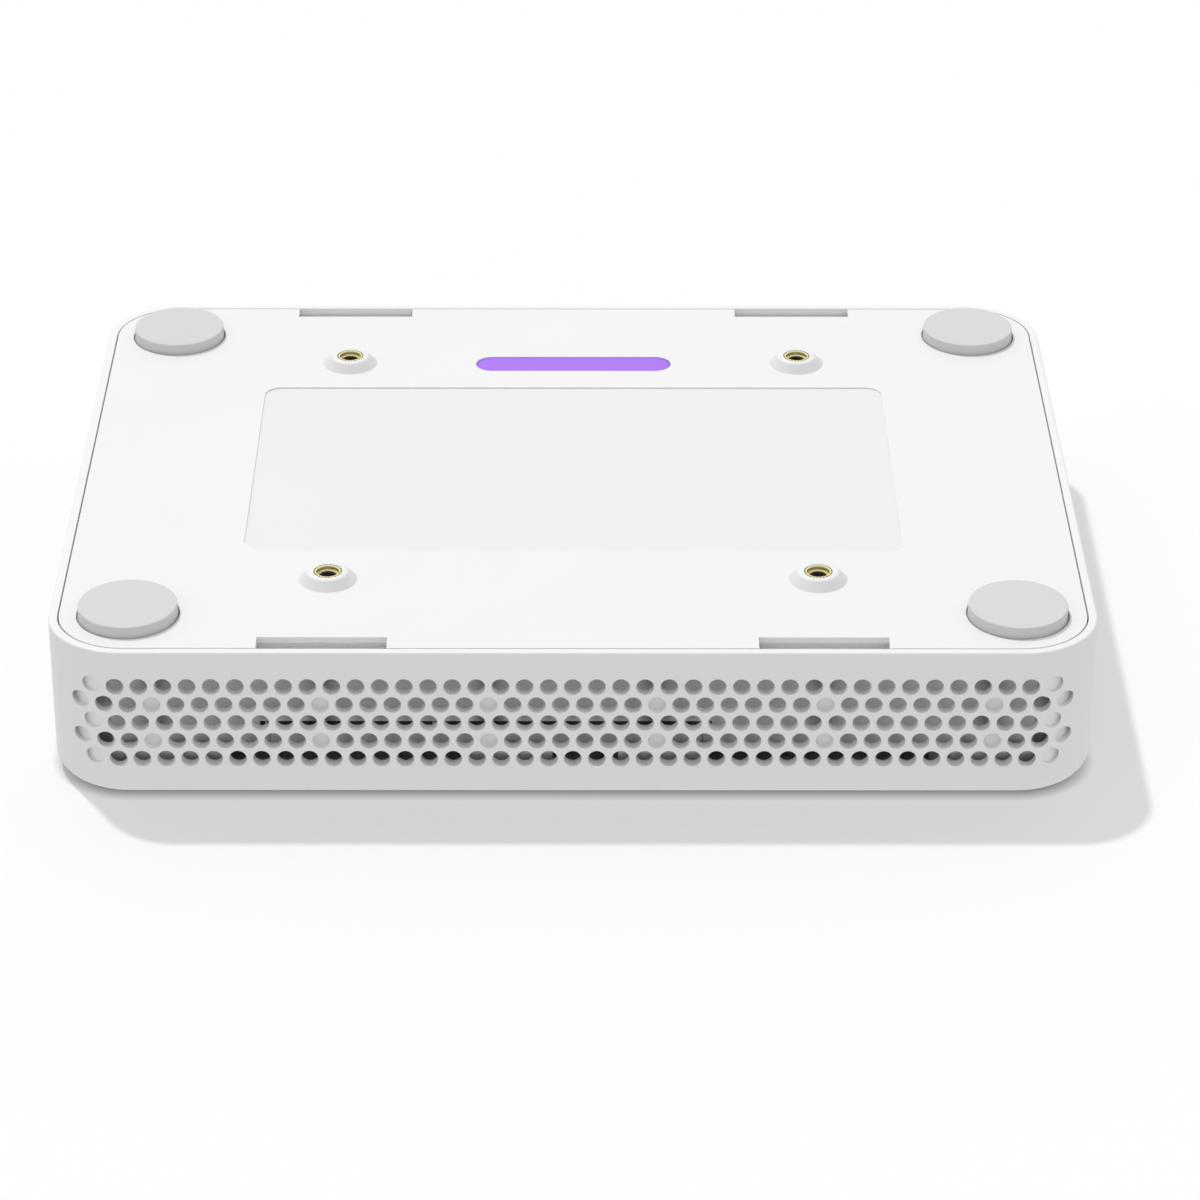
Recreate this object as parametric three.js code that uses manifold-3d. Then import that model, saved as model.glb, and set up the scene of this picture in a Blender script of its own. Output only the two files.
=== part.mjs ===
// A flat wireless router: a moulded cover with a perforated front wall, a bottom plate with four rubber
// feet and four brass inserts, and the board, heatsinks, antennas, sockets and buttons between them.
// Millimetres, +Z up. The origin is on the surface that the feet stand on, under the middle of the body.
// The perforated front wall faces -Y, and the sockets and buttons are in the rear wall, which faces +Y.

import * as THREE from 'three';
import { mergeGeometries, mergeVertices } from 'three/addons/utils/BufferGeometryUtils.js';
import Module from 'manifold-3d';

const wasm = await Module();
wasm.setup();

// ---------------------------------------------------------------------------------------------------
// Driving dimensions
// ---------------------------------------------------------------------------------------------------

// Body, without its feet
const bodyWidth = 211;
const bodyDepth = 160.6;
const bodyHeight = 33.6;
const cornerRadius = 16;
const topEdgeRadius = 4;
const wall = 1.8;
const topThickness = 2;

// Clearances
const seamGap = 0.35;
const fitGap = 0.3;
const runGap = 0.4;
const margin = 1;

// Bottom plate
const plateThickness = 2;
const lipHeight = 2;
const lipThickness = 1.2;

// Feet and the screws that they cover
const footRadius = 10;
const footDraft = 0.25;
const footStand = 2.33;
const footSeat = 1.2;
const footWellWall = 1.6;
const footWellFloor = 1.8;
const caseScrewHeadRadius = 2.75;
const caseScrewHeadHeight = 2;
const caseScrewRadius = 1.4;
const caseScrewGrip = 12;
const casePostWall = 2.4;

// Threaded inserts, on the 100 mm square that monitor arms and wall plates use
const insertSpacing = 100;
const insertRadius = 3.1;
const insertBore = 1.65;
const insertLength = 6.5;
const insertCountersink = 1;
const bossStand = 1.89;
const bossRing = 0.96;
const bossFlare = 1.96;
const bossPostWall = 1.8;
const bossPostFloor = 1.2;

// Pockets along the plate's front and rear edges
const pocketLength = 26;
const pocketWidth = 4.3;
const pocketDepth = 2.6;
const pocketStepWidth = 1.6;
const pocketStepDepth = 1.7;
const pocketWall = 1.2;

// Shallow field for a label, with one cut corner
const labelWidth = 136.4;
const labelDepth = 75.6;
const labelRecess = 0.3;
const labelRadius = 3.6;
const labelSmallRadius = 1.5;
const labelChamfer = 3.2;

// Coloured inlay
const inlayLength = 44.1;
const inlayWidth = 7.6;
const inlayInset = 0.35;
const inlayThickness = 1.2;
const inlaySink = 0.15;

// Holes of the front wall
const holeRadius = 1.75;
const holePitch = 4.8;
const holeRows = 5;
const firstRow = 7.82;
const holesPastCorner = 4.5;
const dimpleDepth = 0.8;
const ribEvery = 7;
const ribWidth = 1.2;
const ribDepth = 3.6;
const ribStart = 4.6;

// Main board, which hangs from posts in the cover with its parts underneath
const boardSide = 27.5;
const boardThickness = 1.6;
const boardSideFront = 14.3;
const boardRear = 8.3;
const tongueLeft = -27;
const tongueRight = 62;
const boardPostRadius = 3.2;
const boardPostInset = 7;
const boardPostFront = 25;
const boardPostRear = 36;
const boardScrewRadius = 1.2;
const boardScrewHead = 2.7;
const boardScrewHeadHeight = 1.7;
const boardScrewGrip = 6;

// Heatsinks
const sheet = 1.2;
const lowerSinkWidth = 120;
const lowerSinkReach = 88;
const lowerSinkDrop = 3.6;
const lowerFinHeight = 5.6;
const lowerFinCount = 9;
const flangeEnds = 12.5;
const flangeBelowFins = 0.2;
const flangeAboveLip = 1.5;
const upperSinkDepth = 24;
const upperFinCount = 5;

// Parts on the board
const processorSize = 22;
const processorHeight = 1.2;
const processorFromFlange = 49;
const memoryWidth = 9;
const memoryDepth = 14;
const memoryHeight = 1;
const memorySpacing = 26;
const radioSize = 30;
const radioHeight = 2.8;
const radioSpacing = 84;
const padOverhang = 1;

// Sockets
const jackWidth = 16;
const jackHeight = 13.4;
const jackLength = 20;
const jackCavityWidth = 11.8;
const jackCavityHeight = 7.2;
const jackCavityLength = 14;
const jackLatchWidth = 6.4;
const jackLatchHeight = 3.2;
const jackLatchLength = 9;
const jackFloor = 2.2;
const jackAboveLip = 0.57;
const wanX = 32;
const wanGap = 8;
const lanGap = 2;
const lanCount = 3;
const faceSink = 0.3;
const inletX = 66;
const inletWidth = 10;
const inletHeight = 11;
const inletLength = 14;
const inletCollarRadius = 4.4;
const inletBoreRadius = 3.2;
const inletBoreLength = 9.5;
const inletPinRadius = 1;

// Buttons
const wpsX = -56;
const wpsRadius = 3.5;
const wpsProud = 0;
const wpsTravel = 0.8;
const resetX = 50;
const resetRadius = 1.3;
const resetProud = -1;
const resetTravel = 0.6;
const buttonBelowBoard = 7;
const buttonFlange = 1.3;
const buttonFlangeThickness = 1.4;
const buttonStem = 2.4;
const buttonStemShare = 0.45;
const switchWidth = 7;
const switchDepth = 4.6;
const switchPlungerRadius = 1.1;
const switchPlunger = 0.8;
const switchBelowButton = 3;

// Antennas and their leads: two behind the middle of the front wall and two at its ends
const frontAntennaX = [9.6, -19.2];
const frontAntennaWidth = 9.6;
const endAntennaInset = 24;
const endAntennaWidth = 19;
const antennaHeight = 5.13;
const antennaThickness = 0.8;
const antennaShelf = 5;
const leadRadius = 0.55;
const leadInset = 2;
const frontLeadSpread = 22;
const endLeadSpread = 46;
const leadBehindSink = 18;

// Status light
const lightLength = 14;
const lightWidth = 3;
const lightFromFront = 20.3;
const lightBehindSink = 3;
const ledSize = 2;
const ledHeight = 0.8;

// Roundness of curves
const cornerSteps = 5;
const edgeSteps = 3;
const holeSides = 6;
const footSides = 32;
const roundSides = 20;
const smallSides = 12;
const leadSteps = 14;
const leadSides = 6;

// ---------------------------------------------------------------------------------------------------
// Levels and places that follow from them
// ---------------------------------------------------------------------------------------------------

const rimZ = footStand;
const topZ = rimZ + bodyHeight;
const ceilingZ = topZ - topThickness;
const plateTopZ = rimZ + plateThickness;
const plateInset = wall + seamGap;
const plateWidth = bodyWidth - 2 * plateInset;
const plateDepth = bodyDepth - 2 * plateInset;
const plateRadius = cornerRadius - plateInset;
const frontInside = -bodyDepth / 2 + wall;
const rearInside = bodyDepth / 2 - wall;
const ribTip = frontInside + ribDepth;
const boardFront = ribTip + runGap;
const solderZ = plateTopZ + lipHeight + jackAboveLip + jackHeight;
const boardBottom = solderZ + fitGap;
const boardTop = boardBottom + boardThickness;
const boardWidth = bodyWidth - 2 * boardSide;
const boardBack = rearInside - boardRear + wall;
const boardSideEdge = -bodyDepth / 2 + boardSideFront;
const footX = bodyWidth / 2 - cornerRadius;
const footY = bodyDepth / 2 - cornerRadius;
const wellFloorZ = rimZ + footSeat + fitGap;
const screwHeadZ = wellFloorZ + fitGap;
const wellTopZ = screwHeadZ + caseScrewHeadHeight + footWellFloor;
const bossZ = rimZ - bossStand;
const sinkTopZ = boardBottom - lowerSinkDrop;
const flangeY = boardFront + runGap;
const upperPadZ = boardTop + fitGap;
const upperSinkZ = upperPadZ + sheet;
const antennaHigh = ceilingZ - fitGap;
const antennaLow = antennaHigh - antennaHeight;
const upperSinkTop = antennaLow - fitGap;
const upperSinkBack = flangeY + upperSinkDepth;
const corners = [[-1, -1], [1, -1], [-1, 1], [1, 1]];
const cornerNames = ['front_left', 'front_right', 'rear_left', 'rear_right'];

// ---------------------------------------------------------------------------------------------------
// Materials
// ---------------------------------------------------------------------------------------------------

function finish(color, roughness, metalness = 0) {
  return new THREE.MeshStandardMaterial({ color, roughness, metalness });
}

const whitePlastic = finish(0xf4f4f4, 0.5);
const purplePlastic = finish(0xb281fb, 0.4);
const greyRubber = finish(0xd6d8d7, 0.85);
const brass = finish(0xd9c46a, 0.3, 1);
const steel = finish(0xb8babd, 0.35, 1);
const aluminium = finish(0xa9acae, 0.45, 1);
const blackBoard = finish(0x16181a, 0.55);
const blackPlastic = finish(0x1d1e20, 0.5);
const greyPad = finish(0x8d9aa6, 0.9);
const antennaSheet = finish(0x8b8d8c, 0.5, 0.6);
const leadSleeve = finish(0x3a3b3d, 0.5);
const clearPlastic = finish(0xe9eef0, 0.2);
const greyPlastic = finish(0xc9cbcc, 0.5);

// ---------------------------------------------------------------------------------------------------
// Solids
// ---------------------------------------------------------------------------------------------------

// Turns a closed three.js geometry into a solid that can be joined and cut.
function solid(geometry) {
  const bare = geometry.clone();
  bare.deleteAttribute('normal');
  bare.deleteAttribute('uv');
  const merged = mergeVertices(bare, 1e-4);
  const triangles = [];
  for (let i = 0; i < merged.index.count; i += 3) {
    const [a, b, c] = [0, 1, 2].map((k) => merged.index.getX(i + k));
    if (a !== b && b !== c && c !== a) triangles.push(a, b, c);
  }
  return new wasm.Manifold(new wasm.Mesh({
    numProp: 3,
    vertProperties: new Float32Array(merged.attributes.position.array),
    triVerts: new Uint32Array(triangles)
  }));
}

function surface(body) {
  const { vertProperties, triVerts } = body.getMesh();
  const geometry = new THREE.BufferGeometry();
  geometry.setAttribute('position', new THREE.BufferAttribute(vertProperties, 3));
  geometry.setIndex(new THREE.BufferAttribute(triVerts, 1));
  geometry.computeVertexNormals();
  return geometry;
}

function join(first, ...rest) {
  return rest.reduce((sum, next) => sum.add(next), first);
}

function cut(first, ...rest) {
  return rest.reduce((sum, next) => sum.subtract(next), first);
}

// Many separate closed geometries as one cutter.
function scattered(geometries) {
  return solid(mergeGeometries(geometries));
}

function box([x0, x1], [y0, y1], [z0, z1]) {
  const geometry = new THREE.BoxGeometry(x1 - x0, y1 - y0, z1 - z0);
  return solid(geometry.translate((x0 + x1) / 2, (y0 + y1) / 2, (z0 + z1) / 2));
}

function blockAt(x, y, width, depth, z0, z1) {
  return box([x - width / 2, x + width / 2], [y - depth / 2, y + depth / 2], [z0, z1]);
}

// An upright cylinder or cone; radiusTop is its radius at z1.
function upright(x, y, radius, z0, z1, sides = roundSides, radiusTop = radius) {
  const geometry = new THREE.CylinderGeometry(radiusTop, radius, z1 - z0, sides);
  return solid(geometry.rotateX(Math.PI / 2).translate(x, y, (z0 + z1) / 2));
}

// A cylinder that lies along Y.
function lying(x, z, radius, y0, y1, sides = smallSides) {
  const geometry = new THREE.CylinderGeometry(radius, radius, y1 - y0, sides);
  return solid(geometry.translate(x, (y0 + y1) / 2, z));
}

function roundedRect(width, depth, radius) {
  const x = width / 2 - radius;
  const y = depth / 2 - radius;
  const shape = new THREE.Shape();
  shape.absarc(x, y, radius, 0, Math.PI / 2);
  shape.absarc(-x, y, radius, Math.PI / 2, Math.PI);
  shape.absarc(-x, -y, radius, Math.PI, 1.5 * Math.PI);
  shape.absarc(x, -y, radius, 1.5 * Math.PI, 2 * Math.PI);
  return shape;
}

function slab(shape, z0, z1) {
  const options = { depth: z1 - z0, bevelEnabled: false, curveSegments: cornerSteps };
  return solid(new THREE.ExtrudeGeometry(shape, options).translate(0, 0, z0));
}

// A block with rounded corners and a rounded upper edge, which reaches well below the rim.
function roundTopped(inset, top, edge) {
  const plan = roundedRect(bodyWidth - 2 * inset, bodyDepth - 2 * inset, cornerRadius - inset);
  const options = {
    depth: bodyHeight,
    curveSegments: cornerSteps,
    bevelThickness: edge,
    bevelSize: edge,
    bevelOffset: -edge,
    bevelSegments: edgeSteps
  };
  const geometry = new THREE.ExtrudeGeometry(plan, options);
  return solid(geometry.translate(0, 0, top - bodyHeight - edge));
}

// A closed ring or disc turned about Z from points [radius, z].
function turned(points, sides = roundSides) {
  const profile = points.map(([radius, z]) => new THREE.Vector2(radius, z));
  profile.push(profile[0].clone());
  return solid(new THREE.LatheGeometry(profile, sides).rotateX(Math.PI / 2));
}

const router = new THREE.Group();

function add(name, body, material, x = 0, y = 0) {
  const mesh = new THREE.Mesh(surface(body), material);
  mesh.name = name;
  mesh.position.set(x, y, 0);
  router.add(mesh);
}

// ---------------------------------------------------------------------------------------------------
// Sockets and buttons: their places, which the cover's rear wall follows
// ---------------------------------------------------------------------------------------------------

const faceY = bodyDepth / 2 - faceSink;
const jacks = [{ name: 'wan_jack', x: wanX }];
for (let i = 0; i < lanCount; i++) {
  const firstX = wanX - jackWidth - wanGap;
  jacks.push({ name: `lan_jack_${i + 1}`, x: firstX - i * (jackWidth + lanGap) });
}
const inletZ = solderZ - inletHeight / 2;
const buttonZ = boardBottom - buttonBelowBoard;
const buttons = [
  { name: 'wps', x: wpsX, radius: wpsRadius, proud: wpsProud, travel: wpsTravel },
  { name: 'reset', x: resetX, radius: resetRadius, proud: resetProud, travel: resetTravel }
];
const lightY = -bodyDepth / 2 + lightFromFront;

// ---------------------------------------------------------------------------------------------------
// Cover
// ---------------------------------------------------------------------------------------------------

const flatHalf = bodyWidth / 2 - cornerRadius;
const rowPitch = holePitch * Math.sqrt(3) / 2;

function holeAlongY(x, z, y0, y1) {
  const geometry = new THREE.CylinderGeometry(holeRadius, holeRadius, y1 - y0, holeSides);
  geometry.rotateY(Math.PI / holeSides);
  return geometry.translate(x, (y0 + y1) / 2, z);
}

// A dimple on the corner's curve, square to the surface at x.
function cornerDimple(x, z) {
  const side = Math.sign(x);
  const turn = Math.asin((Math.abs(x) - flatHalf) / cornerRadius);
  const geometry = new THREE.CylinderGeometry(holeRadius, holeRadius, 2 * dimpleDepth, holeSides);
  geometry.rotateY(Math.PI / holeSides);
  geometry.translate(0, -cornerRadius, 0);
  geometry.rotateZ(side * turn);
  return geometry.translate(side * flatHalf, cornerRadius - bodyDepth / 2, z);
}

function frontHoles() {
  const outside = -bodyDepth / 2;
  const pastWall = frontInside + margin + holesPastCorner;
  const cutters = [];
  for (let row = 0; row < holeRows; row++) {
    const z = rimZ + firstRow + row * rowPitch;
    const staggered = row % 2 === 1;
    const start = staggered ? 0.5 : 0;
    const last = Math.floor((flatHalf + holesPastCorner) / holePitch - start);
    for (let i = 0; i <= last; i++) {
      const x = (start + i) * holePitch;
      const onRib = staggered && i % ribEvery === (ribEvery - 1) / 2;
      const end = onRib ? outside + dimpleDepth : pastWall;
      for (const side of x === 0 ? [1] : [-1, 1]) {
        cutters.push(holeAlongY(side * x, z, outside - margin, end));
      }
    }
    for (const side of [-1, 1]) {
      cutters.push(cornerDimple(side * (start + last + 1) * holePitch, z));
    }
  }
  return scattered(cutters);
}

function ribs() {
  const step = ribEvery * holePitch;
  const list = [];
  for (let x = step / 2; x < flatHalf; x += step) {
    for (const side of [-1, 1]) {
      const low = rimZ + ribStart;
      list.push(blockAt(side * x, (frontInside + ribTip) / 2 - margin / 2, ribWidth,
        ribDepth + margin, low, ceilingZ + margin));
    }
  }
  return list;
}

function casePost([sx, sy]) {
  const bore = caseScrewRadius + fitGap;
  const low = wellTopZ + fitGap;
  const post = upright(sx * footX, sy * footY, bore + casePostWall, low, ceilingZ + margin, smallSides);
  const hole = upright(sx * footX, sy * footY, bore, low - margin, low + caseScrewGrip + fitGap, smallSides);
  return { post, hole };
}

const boardPostPlaces = corners.map(([sx, sy]) => [
  sx * (boardWidth / 2 - boardPostInset),
  sy * (bodyDepth / 2 - (sy < 0 ? boardPostFront : boardPostRear))
]);

function boardPost([x, y]) {
  const low = boardTop + fitGap;
  const post = upright(x, y, boardPostRadius, low, ceilingZ + margin, smallSides);
  const high = low + boardScrewGrip + fitGap;
  const hole = upright(x, y, boardScrewRadius + fitGap, low - margin, high, smallSides);
  return { post, hole };
}

function rearOpenings() {
  const depthRange = [rearInside - margin, bodyDepth / 2 + margin];
  const list = jacks.map(({ x }) => box(
    [x - jackWidth / 2 - fitGap, x + jackWidth / 2 + fitGap],
    depthRange,
    [solderZ - jackHeight - fitGap, solderZ + fitGap]
  ));
  list.push(lying(inletX, inletZ, inletCollarRadius + fitGap, ...depthRange, roundSides));
  for (const { x, radius } of buttons) {
    list.push(lying(x, buttonZ, radius + fitGap, ...depthRange, roundSides));
  }
  return list;
}

function topCover() {
  const below = box([-bodyWidth, bodyWidth], [-bodyDepth, bodyDepth], [rimZ - bodyHeight, rimZ]);
  const shell = cut(
    roundTopped(0, topZ, topEdgeRadius),
    below,
    roundTopped(wall, ceilingZ, Math.max(topEdgeRadius - wall, wall / 2))
  );
  const posts = [...corners.map(casePost), ...boardPostPlaces.map(boardPost)];
  const window = roundedRect(lightLength + 2 * fitGap, lightWidth + 2 * fitGap, lightWidth / 2 + fitGap);
  return cut(
    join(shell, ...ribs(), ...posts.map(({ post }) => post)),
    ...posts.map(({ hole }) => hole),
    frontHoles(),
    ...rearOpenings(),
    slab(window, ceilingZ - margin, topZ + margin).translate([0, lightY, 0])
  );
}

add('top_cover', topCover(), whitePlastic);

// ---------------------------------------------------------------------------------------------------
// Bottom plate
// ---------------------------------------------------------------------------------------------------

// Seen from above, the cut corner is at +X, -Y and the small round one at -X, -Y.
function labelOutline() {
  const x = labelWidth / 2;
  const y = labelDepth / 2;
  const shape = new THREE.Shape();
  shape.moveTo(x - labelChamfer, -y);
  shape.lineTo(x, -y + labelChamfer);
  shape.absarc(x - labelRadius, y - labelRadius, labelRadius, 0, Math.PI / 2);
  shape.absarc(-x + labelRadius, y - labelRadius, labelRadius, Math.PI / 2, Math.PI);
  shape.absarc(-x + labelSmallRadius, -y + labelSmallRadius, labelSmallRadius, Math.PI, 1.5 * Math.PI);
  return shape;
}

// The inlay is almost in line with the rear inserts.
const inlayY = insertSpacing / 2 - inlayInset;
const inlayZ = rimZ + inlaySink;

function inlayOutline(inset) {
  return roundedRect(inlayLength - 2 * inset, inlayWidth - 2 * inset, inlayWidth / 2 - inset);
}

function pocket(sx, sy) {
  const x = sx * insertSpacing / 2;
  const edge = plateDepth / 2;
  const span = (from, to) => (sy > 0 ? [from, to] : [-to, -from]);
  const across = (extra) => [x - pocketLength / 2 - extra, x + pocketLength / 2 + extra];
  const tray = box(
    across(pocketWall),
    span(edge - pocketWidth - pocketWall, edge),
    [rimZ, rimZ + pocketDepth + pocketWall]
  );
  const deep = box(
    across(0),
    span(edge - pocketWidth, edge - pocketStepWidth),
    [rimZ - margin, rimZ + pocketDepth]
  );
  const shallow = box(
    across(0),
    span(edge - pocketStepWidth - fitGap, edge + margin),
    [rimZ - margin, rimZ + pocketStepDepth]
  );
  return { tray, hollows: [deep, shallow] };
}

function footWell([sx, sy]) {
  const place = [sx * footX, sy * footY];
  const wellRadius = footRadius + footDraft + fitGap;
  const headRadius = caseScrewHeadRadius + fitGap;
  const headTop = wellTopZ - footWellFloor + fitGap;
  const well = upright(...place, wellRadius, rimZ - margin, wellFloorZ);
  const cup = upright(...place, wellRadius + footWellWall, rimZ, wellFloorZ + footWellWall);
  const seat = upright(...place, headRadius + footWellWall, wellFloorZ, wellTopZ);
  const head = upright(...place, headRadius, wellFloorZ - margin, headTop, smallSides);
  const shank = upright(...place, caseScrewRadius + fitGap, rimZ, wellTopZ + margin, smallSides);
  return { solids: [cup, seat], hollows: [well, head, shank] };
}

function insertBoss([sx, sy]) {
  const x = sx * insertSpacing / 2;
  const y = sy * insertSpacing / 2;
  const boreRadius = insertRadius + fitGap / 2;
  const blindZ = bossZ + insertLength + fitGap;
  const tipRadius = insertRadius + bossRing;
  const cone = upright(x, y, tipRadius, bossZ, rimZ, roundSides, tipRadius + bossFlare);
  const post = upright(x, y, boreRadius + bossPostWall, rimZ, blindZ + bossPostFloor, roundSides);
  const bore = upright(x, y, boreRadius, bossZ - margin, blindZ, roundSides);
  return { solids: [cone, post], hollows: [bore] };
}

function plateOutline(inset) {
  return roundedRect(plateWidth - 2 * inset, plateDepth - 2 * inset, plateRadius - inset);
}

function bottomPlate() {
  const base = slab(plateOutline(0), rimZ, plateTopZ);
  const lip = cut(
    slab(plateOutline(0), rimZ, plateTopZ + lipHeight),
    slab(plateOutline(lipThickness), rimZ - margin, plateTopZ + lipHeight + margin)
  );
  const pockets = corners.map(([sx, sy]) => pocket(sx, sy));
  const features = [...corners.map(footWell), ...corners.map(insertBoss)];
  const field = slab(labelOutline(), rimZ - margin, rimZ + labelRecess);
  const slotZ = inlayZ + inlayThickness + fitGap;
  const slot = slab(inlayOutline(0), rimZ - margin, slotZ).translate([0, inlayY, 0]);
  const slotBack = slab(inlayOutline(-pocketWall), rimZ, slotZ + pocketWall).translate([0, inlayY, 0]);
  const solids = [
    lip,
    slotBack,
    ...pockets.map(({ tray }) => tray),
    ...features.flatMap((feature) => feature.solids)
  ];
  return cut(
    join(base, ...solids).intersect(slab(plateOutline(0), rimZ - bodyHeight, rimZ + bodyHeight)),
    ...pockets.flatMap(({ hollows }) => hollows),
    ...features.flatMap(({ hollows }) => hollows),
    field,
    slot
  );
}

add('bottom_plate', bottomPlate(), whitePlastic);
add('pill_inlay', slab(inlayOutline(fitGap), inlayZ, inlayZ + inlayThickness), purplePlastic, 0, inlayY);

// ---------------------------------------------------------------------------------------------------
// Feet, inserts and case screws: one of each at every corner
// ---------------------------------------------------------------------------------------------------

function foot() {
  const topOfFoot = rimZ + footSeat;
  return turned([[0, 0], [footRadius, 0], [footRadius + footDraft, topOfFoot], [0, topOfFoot]], footSides);
}

function insert() {
  const high = bossZ + insertLength;
  return turned([
    [insertBore + insertCountersink, bossZ],
    [insertRadius - fitGap / 2, bossZ],
    [insertRadius - fitGap / 2, high],
    [insertBore, high],
    [insertBore, bossZ + insertCountersink]
  ]);
}

function caseScrew() {
  const high = wellTopZ + fitGap + caseScrewGrip;
  return join(
    upright(0, 0, caseScrewHeadRadius, screwHeadZ, screwHeadZ + caseScrewHeadHeight, smallSides),
    upright(0, 0, caseScrewRadius, screwHeadZ, high, smallSides)
  );
}

corners.forEach(([sx, sy], i) => {
  const corner = cornerNames[i];
  add(`foot_${corner}`, foot(), greyRubber, sx * footX, sy * footY);
  add(`threaded_insert_${corner}`, insert(), brass, sx * insertSpacing / 2, sy * insertSpacing / 2);
  add(`case_screw_${corner}`, caseScrew(), steel, sx * footX, sy * footY);
});

// ---------------------------------------------------------------------------------------------------
// Main board, its parts and its screws
// ---------------------------------------------------------------------------------------------------

function mainBoard() {
  const depth = [boardBottom, boardTop];
  const main = box([-boardWidth / 2, boardWidth / 2], [boardSideEdge, boardBack], depth);
  const tongue = box([tongueLeft, tongueRight], [boardFront, boardSideEdge + margin], depth);
  const holes = boardPostPlaces.map(([x, y]) => upright(
    x, y, boardScrewRadius + fitGap, boardBottom - margin, boardTop + margin, smallSides
  ));
  return cut(join(main, tongue), ...holes);
}

function boardScrew() {
  const headZ = boardBottom - fitGap - boardScrewHeadHeight;
  return join(
    upright(0, 0, boardScrewHead, headZ, headZ + boardScrewHeadHeight, smallSides),
    upright(0, 0, boardScrewRadius, headZ, boardTop + fitGap + boardScrewGrip, smallSides)
  );
}

add('main_board', mainBoard(), blackBoard);
boardPostPlaces.forEach(([x, y], i) => add(`board_screw_${cornerNames[i]}`, boardScrew(), steel, x, y));

const processorY = flangeY + processorFromFlange;
const processor = blockAt(0, processorY, processorSize, processorSize, solderZ - processorHeight, solderZ);
const padSize = processorSize + 2 * padOverhang;
const processorPad = blockAt(
  0, processorY, padSize, padSize,
  sinkTopZ + fitGap, solderZ - processorHeight - fitGap
);
add('processor', processor, blackPlastic);
add('processor_thermal_pad', processorPad, greyPad);
for (const [name, side] of [['memory_chip_left', -1], ['memory_chip_right', 1]]) {
  const y = processorY + memorySpacing;
  const chip = blockAt(side * memoryDepth / 2 + side * margin, y, memoryWidth, memoryDepth,
    solderZ - memoryHeight, solderZ);
  add(name, chip, blackPlastic);
}
for (const [name, side] of [['radio_shield_left', -1], ['radio_shield_right', 1]]) {
  const shield = cut(
    blockAt(side * radioSpacing / 2, processorY, radioSize, radioSize, solderZ - radioHeight, solderZ),
    blockAt(side * radioSpacing / 2, processorY, radioSize - 2 * fitGap, radioSize - 2 * fitGap,
      solderZ - radioHeight + fitGap, solderZ + margin)
  );
  add(name, shield, steel);
}

// ---------------------------------------------------------------------------------------------------
// Heatsinks
// ---------------------------------------------------------------------------------------------------

const flangeHalf = bodyWidth / 2 - flangeEnds;
const flangeLow = plateTopZ + lipHeight + flangeAboveLip;
const flangeTop = upperSinkTop - flangeBelowFins;

// A plate under the board, with fins below it and a folded wall behind the front holes. The wall is
// lower where the board's tongue passes over it.
function lowerHeatsink() {
  const half = lowerSinkWidth / 2;
  const back = flangeY + lowerSinkReach;
  const plate = box([-half, half], [flangeY, back], [sinkTopZ - sheet, sinkTopZ]);
  const wallFull = box([-flangeHalf, flangeHalf], [flangeY, flangeY + sheet], [flangeLow, flangeTop]);
  const notch = box(
    [tongueLeft - margin, tongueRight + margin],
    [flangeY - margin, flangeY + sheet + margin],
    [boardBottom - runGap, flangeTop + margin]
  );
  const fins = [];
  for (let i = 0; i < lowerFinCount; i++) {
    const x = -half + sheet / 2 + i * (lowerSinkWidth - sheet) / (lowerFinCount - 1);
    const low = sinkTopZ - sheet - lowerFinHeight;
    fins.push(blockAt(x, (flangeY + back) / 2, sheet, lowerSinkReach - 2 * sheet, low, sinkTopZ));
  }
  return cut(join(plate, wallFull, ...fins), notch);
}

const upperSinkX = [tongueLeft + margin, tongueRight - margin];

// A plate on top of the board's tongue, with fins that run parallel to the front wall.
function upperHeatsink() {
  const plate = box(upperSinkX, [flangeY, upperSinkBack], [upperSinkZ, upperSinkZ + sheet]);
  const fins = [];
  for (let i = 0; i < upperFinCount; i++) {
    const y = flangeY + i * (upperSinkDepth - sheet) / (upperFinCount - 1);
    fins.push(box(upperSinkX, [y, y + sheet], [upperSinkZ, upperSinkTop]));
  }
  return join(plate, ...fins);
}

const upperPad = box(
  [upperSinkX[0] + padOverhang, upperSinkX[1] - padOverhang],
  [flangeY + padOverhang, upperSinkBack - padOverhang],
  [upperPadZ, upperSinkZ - fitGap]
);
add('lower_heatsink', lowerHeatsink(), aluminium);
add('upper_heatsink', upperHeatsink(), aluminium);
add('upper_thermal_pad', upperPad, greyPad);

// ---------------------------------------------------------------------------------------------------
// Sockets
// ---------------------------------------------------------------------------------------------------

// A network socket, open to the rear, with the slot for the plug's latch below.
function networkJack(x) {
  const low = solderZ - jackHeight;
  const cavityLow = low + jackFloor + jackLatchHeight - margin;
  const body = box([x - jackWidth / 2, x + jackWidth / 2], [faceY - jackLength, faceY], [low, solderZ]);
  const cavity = box(
    [x - jackCavityWidth / 2, x + jackCavityWidth / 2],
    [faceY - jackCavityLength, faceY + margin],
    [cavityLow, cavityLow + jackCavityHeight]
  );
  const latch = box(
    [x - jackLatchWidth / 2, x + jackLatchWidth / 2],
    [faceY - jackLatchLength, faceY + margin],
    [cavityLow - jackLatchHeight, cavityLow + margin]
  );
  return cut(body, cavity, latch);
}

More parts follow.
